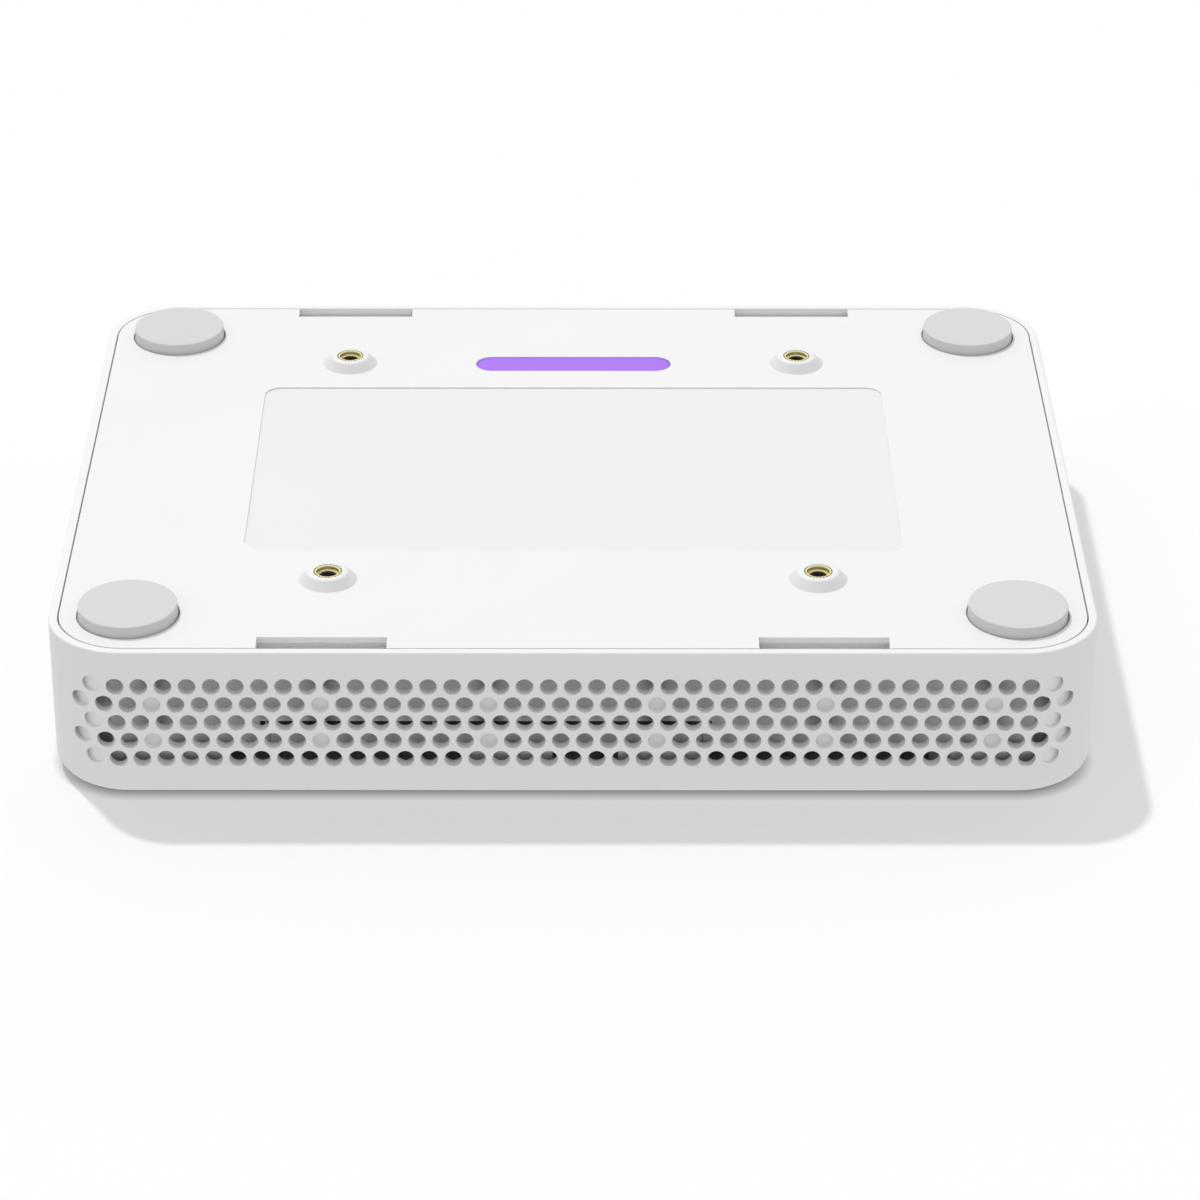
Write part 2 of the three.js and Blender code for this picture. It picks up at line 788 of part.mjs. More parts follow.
// A round power socket with a centre pin.
function powerInlet() {
  const collarBack = rearInside - fitGap;
  const body = box(
    [inletX - inletWidth / 2, inletX + inletWidth / 2],
    [faceY - inletLength, collarBack],
    [solderZ - inletHeight, solderZ]
  );
  const collar = lying(inletX, inletZ, inletCollarRadius, collarBack - margin, faceY, roundSides);
  const bore = lying(inletX, inletZ, inletBoreRadius, faceY - inletBoreLength, faceY + margin, roundSides);
  const pin = lying(inletX, inletZ, inletPinRadius, faceY - inletBoreLength - margin, faceY - margin);
  return cut(join(body, collar), bore).add(pin);
}

for (const { name, x } of jacks) add(name, networkJack(x), greyPlastic);
add('power_inlet', powerInlet(), blackPlastic);

// ---------------------------------------------------------------------------------------------------
// Buttons and their switches
// ---------------------------------------------------------------------------------------------------

for (const { name, x, radius, proud, travel } of buttons) {
  const flangeBack = rearInside - fitGap - buttonFlangeThickness;
  const stemEnd = flangeBack - buttonStem;
  const button = join(
    lying(x, buttonZ, radius, flangeBack, bodyDepth / 2 + proud, roundSides),
    lying(x, buttonZ, radius + buttonFlange, flangeBack, rearInside - fitGap, roundSides),
    lying(x, buttonZ, radius * buttonStemShare, stemEnd, flangeBack + margin / 2)
  );
  const plungerTip = stemEnd - travel - fitGap;
  const switchBack = plungerTip - switchPlunger - switchDepth;
  const body = box(
    [x - switchWidth / 2, x + switchWidth / 2],
    [switchBack, plungerTip - switchPlunger],
    [buttonZ - switchBelowButton, solderZ]
  );
  const plunger = lying(x, buttonZ, switchPlungerRadius, plungerTip - switchPlunger - margin, plungerTip);
  add(`${name}_button`, button, greyPlastic);
  add(`${name}_switch`, join(body, plunger), blackPlastic);
}

// ---------------------------------------------------------------------------------------------------
// Antennas and their leads
// ---------------------------------------------------------------------------------------------------

function antenna(x, width) {
  const blade = blockAt(x, flangeY + antennaThickness / 2, width, antennaThickness, antennaLow, antennaHigh);
  const shelf = blockAt(x, flangeY + antennaShelf / 2, width, antennaShelf,
    antennaHigh - antennaThickness, antennaHigh);
  return join(blade, shelf);
}

// A lead hangs under the antenna's shelf, runs back over the heatsink and drops to the board.
const leadLandingY = upperSinkBack + leadBehindSink;

function antennaLead(fromX, toX) {
  const low = boardTop + fitGap;
  const run = antennaHigh - antennaThickness - fitGap - leadRadius;
  const shelfBack = flangeY + antennaShelf;
  const route = new THREE.CatmullRomCurve3([
    new THREE.Vector3(fromX, flangeY + antennaShelf / 2, run),
    new THREE.Vector3(fromX, shelfBack, run),
    new THREE.Vector3((fromX + toX) / 2, (shelfBack + leadLandingY) / 2, run - margin),
    new THREE.Vector3(toX, leadLandingY - margin, run - 2 * margin),
    new THREE.Vector3(toX, leadLandingY, (run + low) / 2),
    new THREE.Vector3(toX, leadLandingY, low)
  ]);
  const section = new THREE.Shape();
  section.absarc(0, 0, leadRadius, 0, 2 * Math.PI);
  const options = { steps: leadSteps, extrudePath: route, curveSegments: leadSides / 2 };
  return solid(new THREE.ExtrudeGeometry(section, options));
}

const endAntennaX = bodyWidth / 2 - endAntennaInset;
const antennas = [
  ...frontAntennaX.map((x) => ({ x, width: frontAntennaWidth, spread: frontLeadSpread })),
  ...[endAntennaX, -endAntennaX].map((x) => ({ x, width: endAntennaWidth, spread: endLeadSpread }))
];
antennas.forEach(({ x, width, spread }, i) => {
  const side = Math.sign(x);
  const leadX = x - side * (width / 2 - leadInset);
  add(`antenna_${i + 1}`, antenna(x, width), antennaSheet);
  add(`antenna_lead_${i + 1}`, antennaLead(leadX, side * spread), leadSleeve);
});

// ---------------------------------------------------------------------------------------------------
// Status light: a moulded pipe from the board to the top face, and the light under it
// ---------------------------------------------------------------------------------------------------

const pipeBack = upperSinkBack + lightBehindSink + lightWidth;

function lightPipe() {
  const armLow = upperSinkTop + runGap;
  const face = slab(roundedRect(lightLength, lightWidth, lightWidth / 2), armLow, topZ)
    .translate([0, lightY, 0]);
  const arm = box([-lightWidth / 2, lightWidth / 2], [lightY, pipeBack], [armLow, armLow + lightWidth]);
  const drop = box(
    [-lightWidth / 2, lightWidth / 2],
    [pipeBack - lightWidth, pipeBack],
    [boardTop + ledHeight + 2 * fitGap, armLow + margin]
  );
  return join(face, arm, drop);
}

const ledY = pipeBack - lightWidth / 2;
add('status_light_pipe', lightPipe(), clearPlastic);
add('status_led', blockAt(0, ledY, ledSize, ledSize, boardTop + fitGap, boardTop + fitGap + ledHeight),
  clearPlastic);

export default router;
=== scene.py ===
"""The looks of a flat wireless router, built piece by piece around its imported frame.

Metres, +Z up. The feet stand at z = 0 and the perforated wall faces -Y. It is laid out as an
add-on, with one operator for each piece or group of like pieces, and it runs from top to bottom
as a script.
"""

import math

import bmesh
import bpy
from bpy.props import FloatProperty, FloatVectorProperty, IntProperty, PointerProperty
from mathutils import Matrix, Vector


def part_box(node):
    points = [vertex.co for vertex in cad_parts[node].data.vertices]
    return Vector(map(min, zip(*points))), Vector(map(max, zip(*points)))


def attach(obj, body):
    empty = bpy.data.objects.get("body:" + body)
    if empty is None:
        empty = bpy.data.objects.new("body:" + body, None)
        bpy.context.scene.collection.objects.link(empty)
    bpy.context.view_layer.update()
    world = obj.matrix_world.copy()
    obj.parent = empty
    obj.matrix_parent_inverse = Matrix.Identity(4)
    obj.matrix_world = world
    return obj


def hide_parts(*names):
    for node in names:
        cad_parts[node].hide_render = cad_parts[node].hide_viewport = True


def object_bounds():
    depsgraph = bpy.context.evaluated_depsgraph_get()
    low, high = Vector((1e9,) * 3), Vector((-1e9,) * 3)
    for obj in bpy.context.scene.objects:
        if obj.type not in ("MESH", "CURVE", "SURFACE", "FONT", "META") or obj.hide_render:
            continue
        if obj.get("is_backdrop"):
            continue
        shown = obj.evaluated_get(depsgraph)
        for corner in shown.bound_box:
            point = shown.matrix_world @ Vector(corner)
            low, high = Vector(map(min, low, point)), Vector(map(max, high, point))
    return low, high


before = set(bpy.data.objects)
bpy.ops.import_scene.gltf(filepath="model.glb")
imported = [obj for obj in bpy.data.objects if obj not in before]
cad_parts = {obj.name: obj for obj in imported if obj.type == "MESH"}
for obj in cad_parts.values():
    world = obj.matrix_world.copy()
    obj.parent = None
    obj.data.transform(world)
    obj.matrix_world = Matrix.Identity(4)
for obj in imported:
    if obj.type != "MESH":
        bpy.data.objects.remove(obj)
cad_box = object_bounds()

bl_info = {
    "name": "Wireless Router Pieces",
    "version": (1, 0, 0),
    "blender": (4, 5, 0),
    "location": "View3D > Sidebar > Router",
    "description": "Builds the finished pieces of a flat wireless router around its frame",
    "category": "Add Mesh",
}

MM = 0.001
CORNERS = ("front_left", "front_right", "rear_left", "rear_right")
JACKS = ("wan_jack", "lan_jack_1", "lan_jack_2", "lan_jack_3")
# Radius of the power inlet's collar, and of each button's face.
COLLAR_RADIUS = 4.4 * MM
BUTTONS = {"wps_button": 3.5 * MM, "reset_button": 1.3 * MM}
# How far a cutter runs past the surface that it cuts.
PAST = 1 * MM
# Gap between pieces that don't touch.
GAP = 0.3 * MM
# Keeps a full round end from folding on itself.
HAIR = 0.001 * MM
# Two points nearer than this are one point, or lie at one level.
SAME = 1e-7
# Share of an edge's length that has to run along an axis.
STRAIGHT_SHARE = 0.999
# Share of a join's first volume that has to be left.
KEPT_SHARE = 0.999
# Sides of turned shapes, from the widest to the narrowest, and of plain posts and holes.
CORE_SIDES, WIDE_SIDES, CUP_SIDES, ROUND_SIDES = 200, 96, 64, 48
OPENING_SIDES, PIN_SIDES, SCREW_SIDES, POST_SIDES, HOLE_SIDES = 40, 32, 28, 24, 18


# ------------------------------------------------------------------------------
# Sizes and colours
# ------------------------------------------------------------------------------

def length(name, description, millimetres):
    return FloatProperty(
        name=name, description=description, default=millimetres * MM,
        min=0, precision=5, unit="LENGTH"
    )


def tint(name, description, rgb):
    return FloatVectorProperty(
        name=name, description=description, default=rgb, min=0, max=1, size=3, subtype="COLOR"
    )


class CoverSizes(bpy.types.PropertyGroup):
    """The cover: its rounding, its front holes and what is moulded inside it"""

    corner: length("Corner", "Radius of the four upright corners", 16)
    top_edge: length("Top edge", "Radius where the walls meet the top", 4)
    wall: length("Wall", "Thickness of the four walls", 1.8)
    ceiling: length("Ceiling", "Thickness of the top", 2)
    rim_round: length("Rim round", "Outer rounding of the rim around the plate", 0.5)
    rim_break: length("Rim break", "Inner rounding of the rim, at the seam", 0.1)
    draft: length("Draft", "How much thicker the front wall gets towards the top", 0.8)
    hole: length("Hole", "Radius of the front holes", 1.75)
    hole_mouth: length("Hole mouth", "Rounding of each hole's mouth", 0.16)
    pitch: length("Pitch", "Distance between holes in a row", 4.8)
    first_row: length("First row", "From the rim to the nearest row of holes", 7.82)
    rows: IntProperty(name="Rows", description="Rows of front holes", default=5, min=1)
    past_corner: length("Past corner", "How far the through holes run into the corner's curve", 4.5)
    dimple: length("Dimple", "Depth of the blind holes on the ribs", 1.7)
    corner_floor: length("Corner floor", "Radius of the floor of the corners' blind holes", 17.1)
    corner_shift: length("Corner shift", "How far that floor's centre lies towards the middle", 3.5)
    rib_every: IntProperty(name="Rib every", description="Holes between two ribs", default=7, min=3)
    rib_width: length("Rib width", "Width of the ribs behind the front wall", 1.2)
    rib_depth: length("Rib depth", "How far a rib stands off the front wall", 3.6)
    rib_start: length("Rib start", "From the rim to the ribs", 4.6)
    post_wall: length("Post wall", "Wall of the posts that take the case screws", 2.4)
    board_post: length("Board post", "Radius of the posts that hold the board", 3.2)


class PlateSizes(bpy.types.PropertyGroup):
    """The bottom plate, with its wells, bosses, pockets and shallow fields"""

    seam: length("Seam", "Visible gap between the plate and the cover's rim", 0.28)
    corner: length("Corner", "Radius of the plate's corners", 13.96)
    edge: length("Edge", "Rounding of the plate's outer edge", 0.1)
    thickness: length("Thickness", "Thickness of the plate", 2)
    lip_height: length("Lip height", "Height of the lip inside the plate's edge", 2)
    lip: length("Lip", "Thickness of the lip", 1.2)
    well: length("Well", "Radius of the wells that the feet sit in", 10.36)
    well_lip: length("Well lip", "Rounding of a well's mouth", 0.25)
    well_wall: length("Well wall", "Wall of a foot's well", 1.6)
    boss_ring: length("Boss ring", "Flat ring around an insert", 0.81)
    boss_flare: length("Boss flare", "How much wider a boss is at its base", 1.96)
    pocket_length: length("Pocket length", "Length of a pocket at the plate's edge", 26)
    pocket_width: length("Pocket width", "From the plate's edge to a pocket's far wall", 4.3)
    pocket_depth: length("Pocket depth", "Depth of a pocket", 2.6)
    pocket_brow: length("Pocket brow", "Depth at which a pocket's far wall steps back", 1.3)
    pocket_back: length("Pocket back", "How far that wall steps back", 0.8)
    pocket_step: length("Pocket step", "Width of the shallow part beside the edge", 1.6)
    pocket_step_depth: length("Pocket step depth", "Depth of the shallow part", 1.7)
    label_width: length("Label width", "Width of the recessed label field", 136.4)
    label_depth: length("Label depth", "Depth of the label field in plan", 75.6)
    label_recess: length("Label recess", "How deep the label field is sunk", 0.3)


class DetailSizes(bpy.types.PropertyGroup):
    """Feet, inserts, sockets, buttons and screws"""

    foot_edge: length("Foot edge", "Rounding of a foot's lower edge", 0.3)
    knurl: length("Knurl", "Depth of the knurling on an insert", 0.34)
    thread_pitch: length("Thread pitch", "Pitch of the insert's thread", 0.7)
    thread_depth: length("Thread depth", "Depth of the insert's thread", 0.28)
    inlay_edge: length("Inlay edge", "Rounding of the inlay's edge", 0.2)
    socket_edge: length("Socket edge", "Rounding of a socket's front edges", 0.25)
    contact: length("Contact", "Width of a socket's spring contact", 0.45)
    contact_pitch: length("Contact pitch", "Distance between two contacts", 1.02)
    button_edge: length("Button edge", "Rounding of a button's face", 0.5)


class FinishColours(bpy.types.PropertyGroup):
    """Colours of the finishes"""

    cover: tint("Cover", "Moulded white of the cover", (0.80, 0.80, 0.80))
    plate: tint("Plate", "Moulded white of the bottom plate", (0.785, 0.785, 0.785))
    inlay: tint("Inlay", "Purple of the inlay", (0.365, 0.153, 0.81))
    rubber: tint("Rubber", "Grey of the feet", (0.60, 0.617, 0.608))
    brass: tint("Brass", "Brass of the inserts", (1.0, 0.9, 0.48))
    aluminium: tint("Aluminium", "Aluminium of the heatsinks", (0.74, 0.74, 0.74))
    board: tint("Board", "Solder mask of the board", (0.012, 0.014, 0.016))
    socket: tint("Socket", "Plastic of the sockets", (0.17, 0.175, 0.18))
    button: tint("Button", "Plastic of the buttons", (0.62, 0.63, 0.64))


class StageSizes(bpy.types.PropertyGroup):
    """Camera, lamps and floors"""

    eye: FloatVectorProperty(
        name="Eye", description="Where the camera stands, below the feet and in front",
        default=(-0.70 * MM, -814.58 * MM, -421.32 * MM), size=3, unit="LENGTH", precision=5
    )
    tilt: FloatProperty(
        name="Tilt", description="How far the camera looks along +Z, above the level of the floor",
        default=math.radians(29.27), unit="ROTATION"
    )
    turn: FloatProperty(
        name="Turn", description="How far the camera turns from +Y towards +X",
        default=0.001, unit="ROTATION"
    )
    lens: FloatProperty(
        name="Lens", description="Focal length in millimetres", default=128.51, min=1
    )
    shift: FloatProperty(name="Shift", description="Sideways shift of the frame", default=0.0228)
    key_power: FloatProperty(
        name="Key power", description="Strength of the two key lamps", default=1.41
    )
    key_softness: FloatProperty(
        name="Key softness", description="Width of a key lamp in the sky",
        default=math.radians(2.8), unit="ROTATION"
    )
    sky_front: FloatProperty(
        name="Sky front", description="Brightness of the room in front", default=0.775
    )
    sky_back: FloatProperty(
        name="Sky back", description="Brightness of the room behind", default=0.80
    )


def sizes(group):
    """One of the groups of values on the scene."""
    return getattr(bpy.context.scene, group)


# ------------------------------------------------------------------------------
# Mesh tools
# ------------------------------------------------------------------------------

def block(bm, low, high):
    """A box between two corners. Returns its vertices."""
    low, high = Vector(low), Vector(high)
    made = bmesh.ops.create_cube(bm, size=1)["verts"]
    bmesh.ops.scale(bm, vec=high - low, verts=made)
    bmesh.ops.translate(bm, vec=(low + high) / 2, verts=made)
    return made


def edges_of(verts):
    return list({edge for vert in verts for edge in vert.link_edges})


def along(edges, axis):
    """The edges that run along an axis, 0 to 2."""
    found = []
    for edge in edges:
        run = edge.verts[1].co - edge.verts[0].co
        if abs(run[axis]) > STRAIGHT_SHARE * run.length:
            found.append(edge)
    return found


def rounded(bm, edges, radius, segments):
    """Rounds edges."""
    bmesh.ops.bevel(
        bm, geom=edges, offset=radius, offset_type="OFFSET", segments=segments, profile=0.5,
        affect="EDGES", material=-1, clamp_overlap=False
    )


def stadium(bm, low, high, segments):
    """A block with a round end on its left and its right."""
    verts = block(bm, low, high)
    rounded(bm, along(edges_of(verts), 2), (high.y - low.y) / 2 - HAIR, segments)


def face_at(bm, axis, level):
    """The flat faces that lie at a level of an axis."""
    return [f for f in bm.faces if all(abs(v.co[axis] - level) < SAME for v in f.verts)]


def edges_at(bm, axis, level):
    """The edges that lie at a level of an axis."""
    return [e for e in bm.edges if all(abs(v.co[axis] - level) < SAME for v in e.verts)]


def turned(bm, profile, sides, closed=False):
    """Spins (radius, height) points about the upright axis."""
    verts = [bm.verts.new((radius, 0, height)) for radius, height in profile]
    pairs = list(zip(verts, verts[1:]))
    if closed:
        pairs.append((verts[-1], verts[0]))
    edges = [bm.edges.new(pair) for pair in pairs]
    before = set(bm.verts) - set(verts)
    bmesh.ops.spin(
        bm, geom=verts + edges, cent=(0, 0, 0), axis=(0, 0, 1), angle=math.tau, steps=sides,
        use_merge=True
    )
    made = [v for v in bm.verts if v not in before]
    bmesh.ops.remove_doubles(bm, verts=made, dist=SAME)
    bmesh.ops.recalc_face_normals(bm, faces=bm.faces[:])


def quarter(centre, radius, start, steps):
    """Points of a quarter circle in a profile, turning from the start angle in degrees."""
    points = []
    for i in range(steps + 1):
        angle = math.radians(start + 90 * i / steps)
        points.append((centre[0] + radius * math.cos(angle), centre[1] + radius * math.sin(angle)))
    return points


def pushed_along(bm, outline, run):
    """A solid from a flat outline of points, pushed along a run."""
    face = bm.faces.new([bm.verts.new(point) for point in outline])
    pushed = bmesh.ops.extrude_face_region(bm, geom=[face])["geom"]
    moved = [part for part in pushed if isinstance(part, bmesh.types.BMVert)]
    bmesh.ops.translate(bm, vec=run, verts=moved)
    solid = {f for v in moved for f in v.link_faces} | {face}
    bmesh.ops.recalc_face_normals(bm, faces=list(solid))


def as_mesh(bm, name):
    """Turns a bmesh into a mesh, and frees it."""
    mesh = bpy.data.meshes.new(name)
    bm.to_mesh(mesh)
    bm.free()
    return mesh


def add_object(name, data):
    """An object in the scene."""
    obj = bpy.data.objects.new(name, data)
    bpy.context.scene.collection.objects.link(obj)
    return obj


def rod(radius, start, end):
    """Outline of a plain rod, from its start to its end."""
    return [(0, start), (radius, start), (radius, end), (0, end)]


def stamp_mesh(profile, sides):
    """A turned shape as a mesh, to be stamped at many places."""
    bm = bmesh.new()
    turned(bm, profile, sides)
    return as_mesh(bm, "stamp")


def stamp(bm, mesh, place):
    """Adds a copy of a mesh at a place, given as a matrix."""
    copy = mesh.copy()
    copy.transform(place)
    bm.from_mesh(copy)
    bpy.data.meshes.remove(copy)


def upright_at(x, y, z=0):
    return Matrix.Translation((x, y, z))


def lying_at(x, y, z, inwards=1):
    """A place whose upright axis points along +Y, or along -Y where inwards is -1."""
    return Matrix.Translation((x, y, z)) @ Matrix.Rotation(-inwards * math.pi / 2, 4, "X")


def combined(base, tool, operation):
    """Joins or cuts one closed mesh with another, and frees both."""
    start_volume = base.calc_volume()
    scratch = [add_object("scratch", as_mesh(bm, "scratch")) for bm in (base, tool)]
    modifier = scratch[0].modifiers.new("combine", "BOOLEAN")
    modifier.operation = operation
    modifier.solver = "EXACT"
    modifier.object = scratch[1]
    depsgraph = bpy.context.evaluated_depsgraph_get()
    mesh = bpy.data.meshes.new_from_object(scratch[0].evaluated_get(depsgraph))
    if len(mesh.polygons) == 0:
        raise RuntimeError("a cut or a join left nothing")
    result = bmesh.new()
    result.from_mesh(mesh)
    for obj in scratch:
        bpy.data.meshes.remove(obj.data)
    bpy.data.meshes.remove(mesh)
    bmesh.ops.remove_doubles(result, verts=result.verts[:], dist=SAME)
    if operation == "UNION" and result.calc_volume() < start_volume * KEPT_SHARE:
        raise RuntimeError("a join lost part of its base")
    return result


def finished(bm, name, material, nodes=(), body="router", sharp=50):
    """Turns a mesh into a finished piece: shaded, painted, named, and riding on its body."""
    mesh = as_mesh(bm, name)
    mesh.shade_smooth()
    mesh.set_sharp_from_angle(angle=math.radians(sharp))
    mesh.materials.append(material)
    piece = add_object(name, mesh)
    weighted = piece.modifiers.new("even shading", "WEIGHTED_NORMAL")
    weighted.keep_sharp = True
    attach(piece, body)
    if nodes:
        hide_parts(*nodes)


def middle(node):
    low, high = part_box(node)
    return (low + high) / 2


def half_width(node):
    low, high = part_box(node)
    return (high.x - low.x) / 2


def upright_over(node):
    """An upright place at the middle of a frame node in plan, at level 0."""
    return upright_at(*middle(node).xy)


# ------------------------------------------------------------------------------
# Finishes
# ------------------------------------------------------------------------------

# Sockets of a Mix node's colours and of its result.
MIX_FIRST, MIX_SECOND, MIX_RESULT = 6, 7, 2
# Tone of the label field's floor, and how many times as far the painted shade on the bosses' cones
# goes.
FIELD_TONE = 0.955
CONE_SHADE_SHARE = 2.4


def feed(node, values):
    """Sets a shader node's input sockets to values, or links them to other sockets."""
    for key, value in values.items():
        if isinstance(value, bpy.types.NodeSocket):
            node.id_data.links.new(value, node.inputs[key])
        else:
            node.inputs[key].default_value = value


def add_node(tree, kind, values=None, **settings):
    """A shader node, with its settings, and its sockets set to values or linked to sockets."""
    made = tree.nodes.new("ShaderNode" + kind)
    for key, value in settings.items():
        setattr(made, key, value)
    feed(made, values or {})
    return made


def worked_out(operation, first, second=0.0):
    """The result of a Math node."""
    tree = first.id_data
    return add_node(tree, "Math", {0: first, 1: second}, operation=operation).outputs[0]


def vector_result(operation, first, second=(0, 0, 0)):
    """The result of a Vector Math node."""
    tree = first.id_data
    made = add_node(tree, "VectorMath", {0: first, 1: second}, operation=operation)
    return made.outputs["Value" if operation == "LENGTH" else "Vector"]


def object_place(tree):
    return add_node(tree, "TexCoord").outputs["Object"]


def mixed(mask, first, second, **settings):
    """A colour that goes from one to the other with a mask. Each one may be a socket too."""
    mix = add_node(mask.id_data, "Mix", data_type="RGBA", **settings)
    feed(mix, {"Factor": mask})
    for key, part in ((MIX_FIRST, first), (MIX_SECOND, second)):
        feed(mix, {key: part if isinstance(part, bpy.types.NodeSocket) else (*part, 1)})
    return mix.outputs[MIX_RESULT]


def ranged(value, low, high, start=0.3, end=0.7):
    """A value, mapped from start to end onto low to high."""
    values = {"Value": value, "From Min": start, "From Max": end, "To Min": low, "To Max": high}
    return add_node(value.id_data, "MapRange", values).outputs[0]


def bump(height, depth):
    """Small relief: depth is the height of the relief in metres."""
    return add_node(height.id_data, "Bump", {"Height": height, "Distance": depth}).outputs["Normal"]


def scaled(colour, share):
    return tuple(min(1, part * share) for part in colour)


def new_group(name, inputs, outputs):
    """An empty shader group, its input and output nodes."""
    tree = bpy.data.node_groups.new(name, "ShaderNodeTree")
    for socket, value in inputs.items():
        made = tree.interface.new_socket(socket, in_out="INPUT", socket_type="NodeSocketFloat")
        made.default_value = value
    for socket in outputs:
        tree.interface.new_socket(socket, in_out="OUTPUT", socket_type="NodeSocketFloat")
    return tree, tree.nodes.new("NodeGroupInput"), tree.nodes.new("NodeGroupOutput")


def moulded_grain_group():
    """Fine grain of a moulded or pressed surface, and broad, faint patches."""
    inputs = {"Grain": 2600, "Patches": 22}
    tree, given, result = new_group("moulded grain", inputs, ("Height", "Patch"))
    place = object_place(tree)
    for output, scale, detail in (("Height", "Grain", 2), ("Patch", "Patches", 3)):
        values = {"Vector": place, "Scale": given.outputs[scale], "Detail": detail}
        feed(result, {output: add_node(tree, "TexNoise", values).outputs[0]})
    return tree


def drawn_lines_group():
    """Fine parallel lines along X, as rolled or brushed metal has."""
    tree, given, result = new_group("drawn lines", {"Lines": 1800}, ("Height",))
    stretched = add_node(tree, "Mapping", {"Vector": object_place(tree), "Scale": (0.02, 1, 1)})
    values = {"Vector": stretched.outputs[0], "Scale": given.outputs["Lines"], "Detail": 4}
    feed(result, {"Height": add_node(tree, "TexNoise", values).outputs[0]})
    return tree


def placed_group(tree, build, **values):
    """A group node in a material, from the one copy of that group."""
    name = build.__name__.removesuffix("_group").replace("_", " ")
    made = tree.nodes.new("ShaderNodeGroup")
    made.node_tree = bpy.data.node_groups.get(name) or build()
    feed(made, values)
    return made


def new_material(name):
    """A material, with its tree and its surface shader."""
    material = bpy.data.materials.new(name)
    material.use_nodes = True
    tree = material.node_tree
    return material, tree, tree.nodes["Principled BSDF"]


def plastic(name, colour, roughness=0.46, grain=2600, relief=0.004 * MM, variation=0.012):
    """Moulded plastic with a fine spark-eroded grain."""
    material, tree, shader = new_material(name)
    pattern = placed_group(tree, moulded_grain_group, Grain=grain)
    patch = pattern.outputs["Patch"]
    feed(shader, {
        "Base Color": mixed(patch, scaled(colour, 1 - variation), scaled(colour, 1 + variation)),
        "Roughness": ranged(patch, roughness - 0.03, roughness + 0.03),
        "Normal": bump(pattern.outputs["Height"], relief),
        "Specular IOR Level": 0.35,
    })
    return material


def within(place, half):
    """1 where a coordinate lies within half a width of the middle, and 0 past it."""
    return ranged(worked_out("ABSOLUTE", place), 1, 0, half, half + 0.02 * MM)


def plate_white(colour):
    """The plate's plastic, a little greyer on the label field's floor, and with painted shade on
    the bosses' cones.
    """
    size = sizes("router_plate")
    material = plastic("plate white", colour, roughness=0.5)
    tree = material.node_tree
    shader = tree.nodes["Principled BSDF"]
    moulded = shader.inputs["Base Color"].links[0].from_socket
    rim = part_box("top_cover")[0].z
    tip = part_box("threaded_insert_front_left")[0].z
    place = add_node(tree, "SeparateXYZ", {0: object_place(tree)})
    height = place.outputs["Z"]
    sunk = ranged(height, 0, 1, rim + 0.5 * size.label_recess, rim + 0.9 * size.label_recess)
    across = within(place.outputs["X"], size.label_width / 2)
    ahead = within(place.outputs["Y"], size.label_depth / 2)
    field = worked_out("MULTIPLY", worked_out("MULTIPLY", across, ahead), sunk)
    # Painted shade: the bosses' cones, from just past the insert's ring up to the plate's face, are
    # made darker.
    above = ranged(height, 0, 1, tip + 0.15 * MM, tip + 0.35 * MM)
    below = ranged(height, 1, 0, rim - 0.12 * MM, rim - 0.02 * MM)
    cone_shade = worked_out("MULTIPLY", above, below)
    mask = worked_out("MAXIMUM", field, worked_out("MULTIPLY", cone_shade, CONE_SHADE_SHARE))
    toned = mixed(mask, moulded, (FIELD_TONE,) * 3, blend_type="MULTIPLY", clamp_factor=False)
    feed(shader, {"Base Color": toned})
    return material


def insert_brass(colour):
    """Brass, pale on the ring, with painted shade that darkens it down the mouth, in the thread and
    in the knurling.
    """
    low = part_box("threaded_insert_front_left")[0]
    centre = middle("threaded_insert_front_left")
    outer = half_width("threaded_insert_front_left")
    material = metal("insert brass", colour, 0.22)
    tree = material.node_tree
    shader = tree.nodes["Principled BSDF"]
    place = add_node(tree, "SeparateXYZ", {0: object_place(tree)})
    # The four inserts mirror each other, so one distance from a centre serves them all.
    across = worked_out("SUBTRACT", worked_out("ABSOLUTE", place.outputs["X"]), abs(centre.x))
    along = worked_out("SUBTRACT", worked_out("ABSOLUTE", place.outputs["Y"]), abs(centre.y))
    flat = add_node(tree, "CombineXYZ", {0: across, 1: along}).outputs[0]
    outside = ranged(vector_result("LENGTH", flat), 0, 1, outer - 0.5 * MM, outer - 0.42 * MM)

    def deeper(start, end):
        return ranged(place.outputs["Z"], 0, 1, low.z + start * MM, low.z + end * MM)

    # Painted shade: darker down the mouth, back to brass at the ledge, near black in the thread and
    # dark in the knurling's grooves.
    painted_shade_layers = (
        (deeper(0.05, 0.3), scaled(colour, 0.3)),
        (deeper(0.55, 0.7), scaled(colour, 0.9)),
        (deeper(0.9, 1.02), (0.02, 0.012, 0.008)),
        (worked_out("MULTIPLY", outside, deeper(0.03, 0.1)), (0.07, 0.045, 0.02)),
    )
    toned = shader.inputs["Base Color"].links[0].from_socket
    for mask, tone in painted_shade_layers:
        toned = mixed(mask, toned, tone)
    feed(shader, {"Base Color": toned, "Metallic": 0.6})
    return material


def metal(name, colour, roughness, lines=0, relief=0.003 * MM):
    """Bare metal, with drawn lines where lines are given, or else a fine grain."""
    material, tree, shader = new_material(name)
    pattern = placed_group(tree, moulded_grain_group, Grain=1500)
    height = pattern.outputs["Height"]
    if lines:
        height = placed_group(tree, drawn_lines_group, Lines=lines).outputs["Height"]
    feed(shader, {
        "Base Color": mixed(pattern.outputs["Patch"], scaled(colour, 0.94), scaled(colour, 1.06)),
        "Roughness": ranged(height, roughness - 0.06, roughness + 0.06),
        "Normal": bump(height, relief),
        "Metallic": 1,
    })
    return material


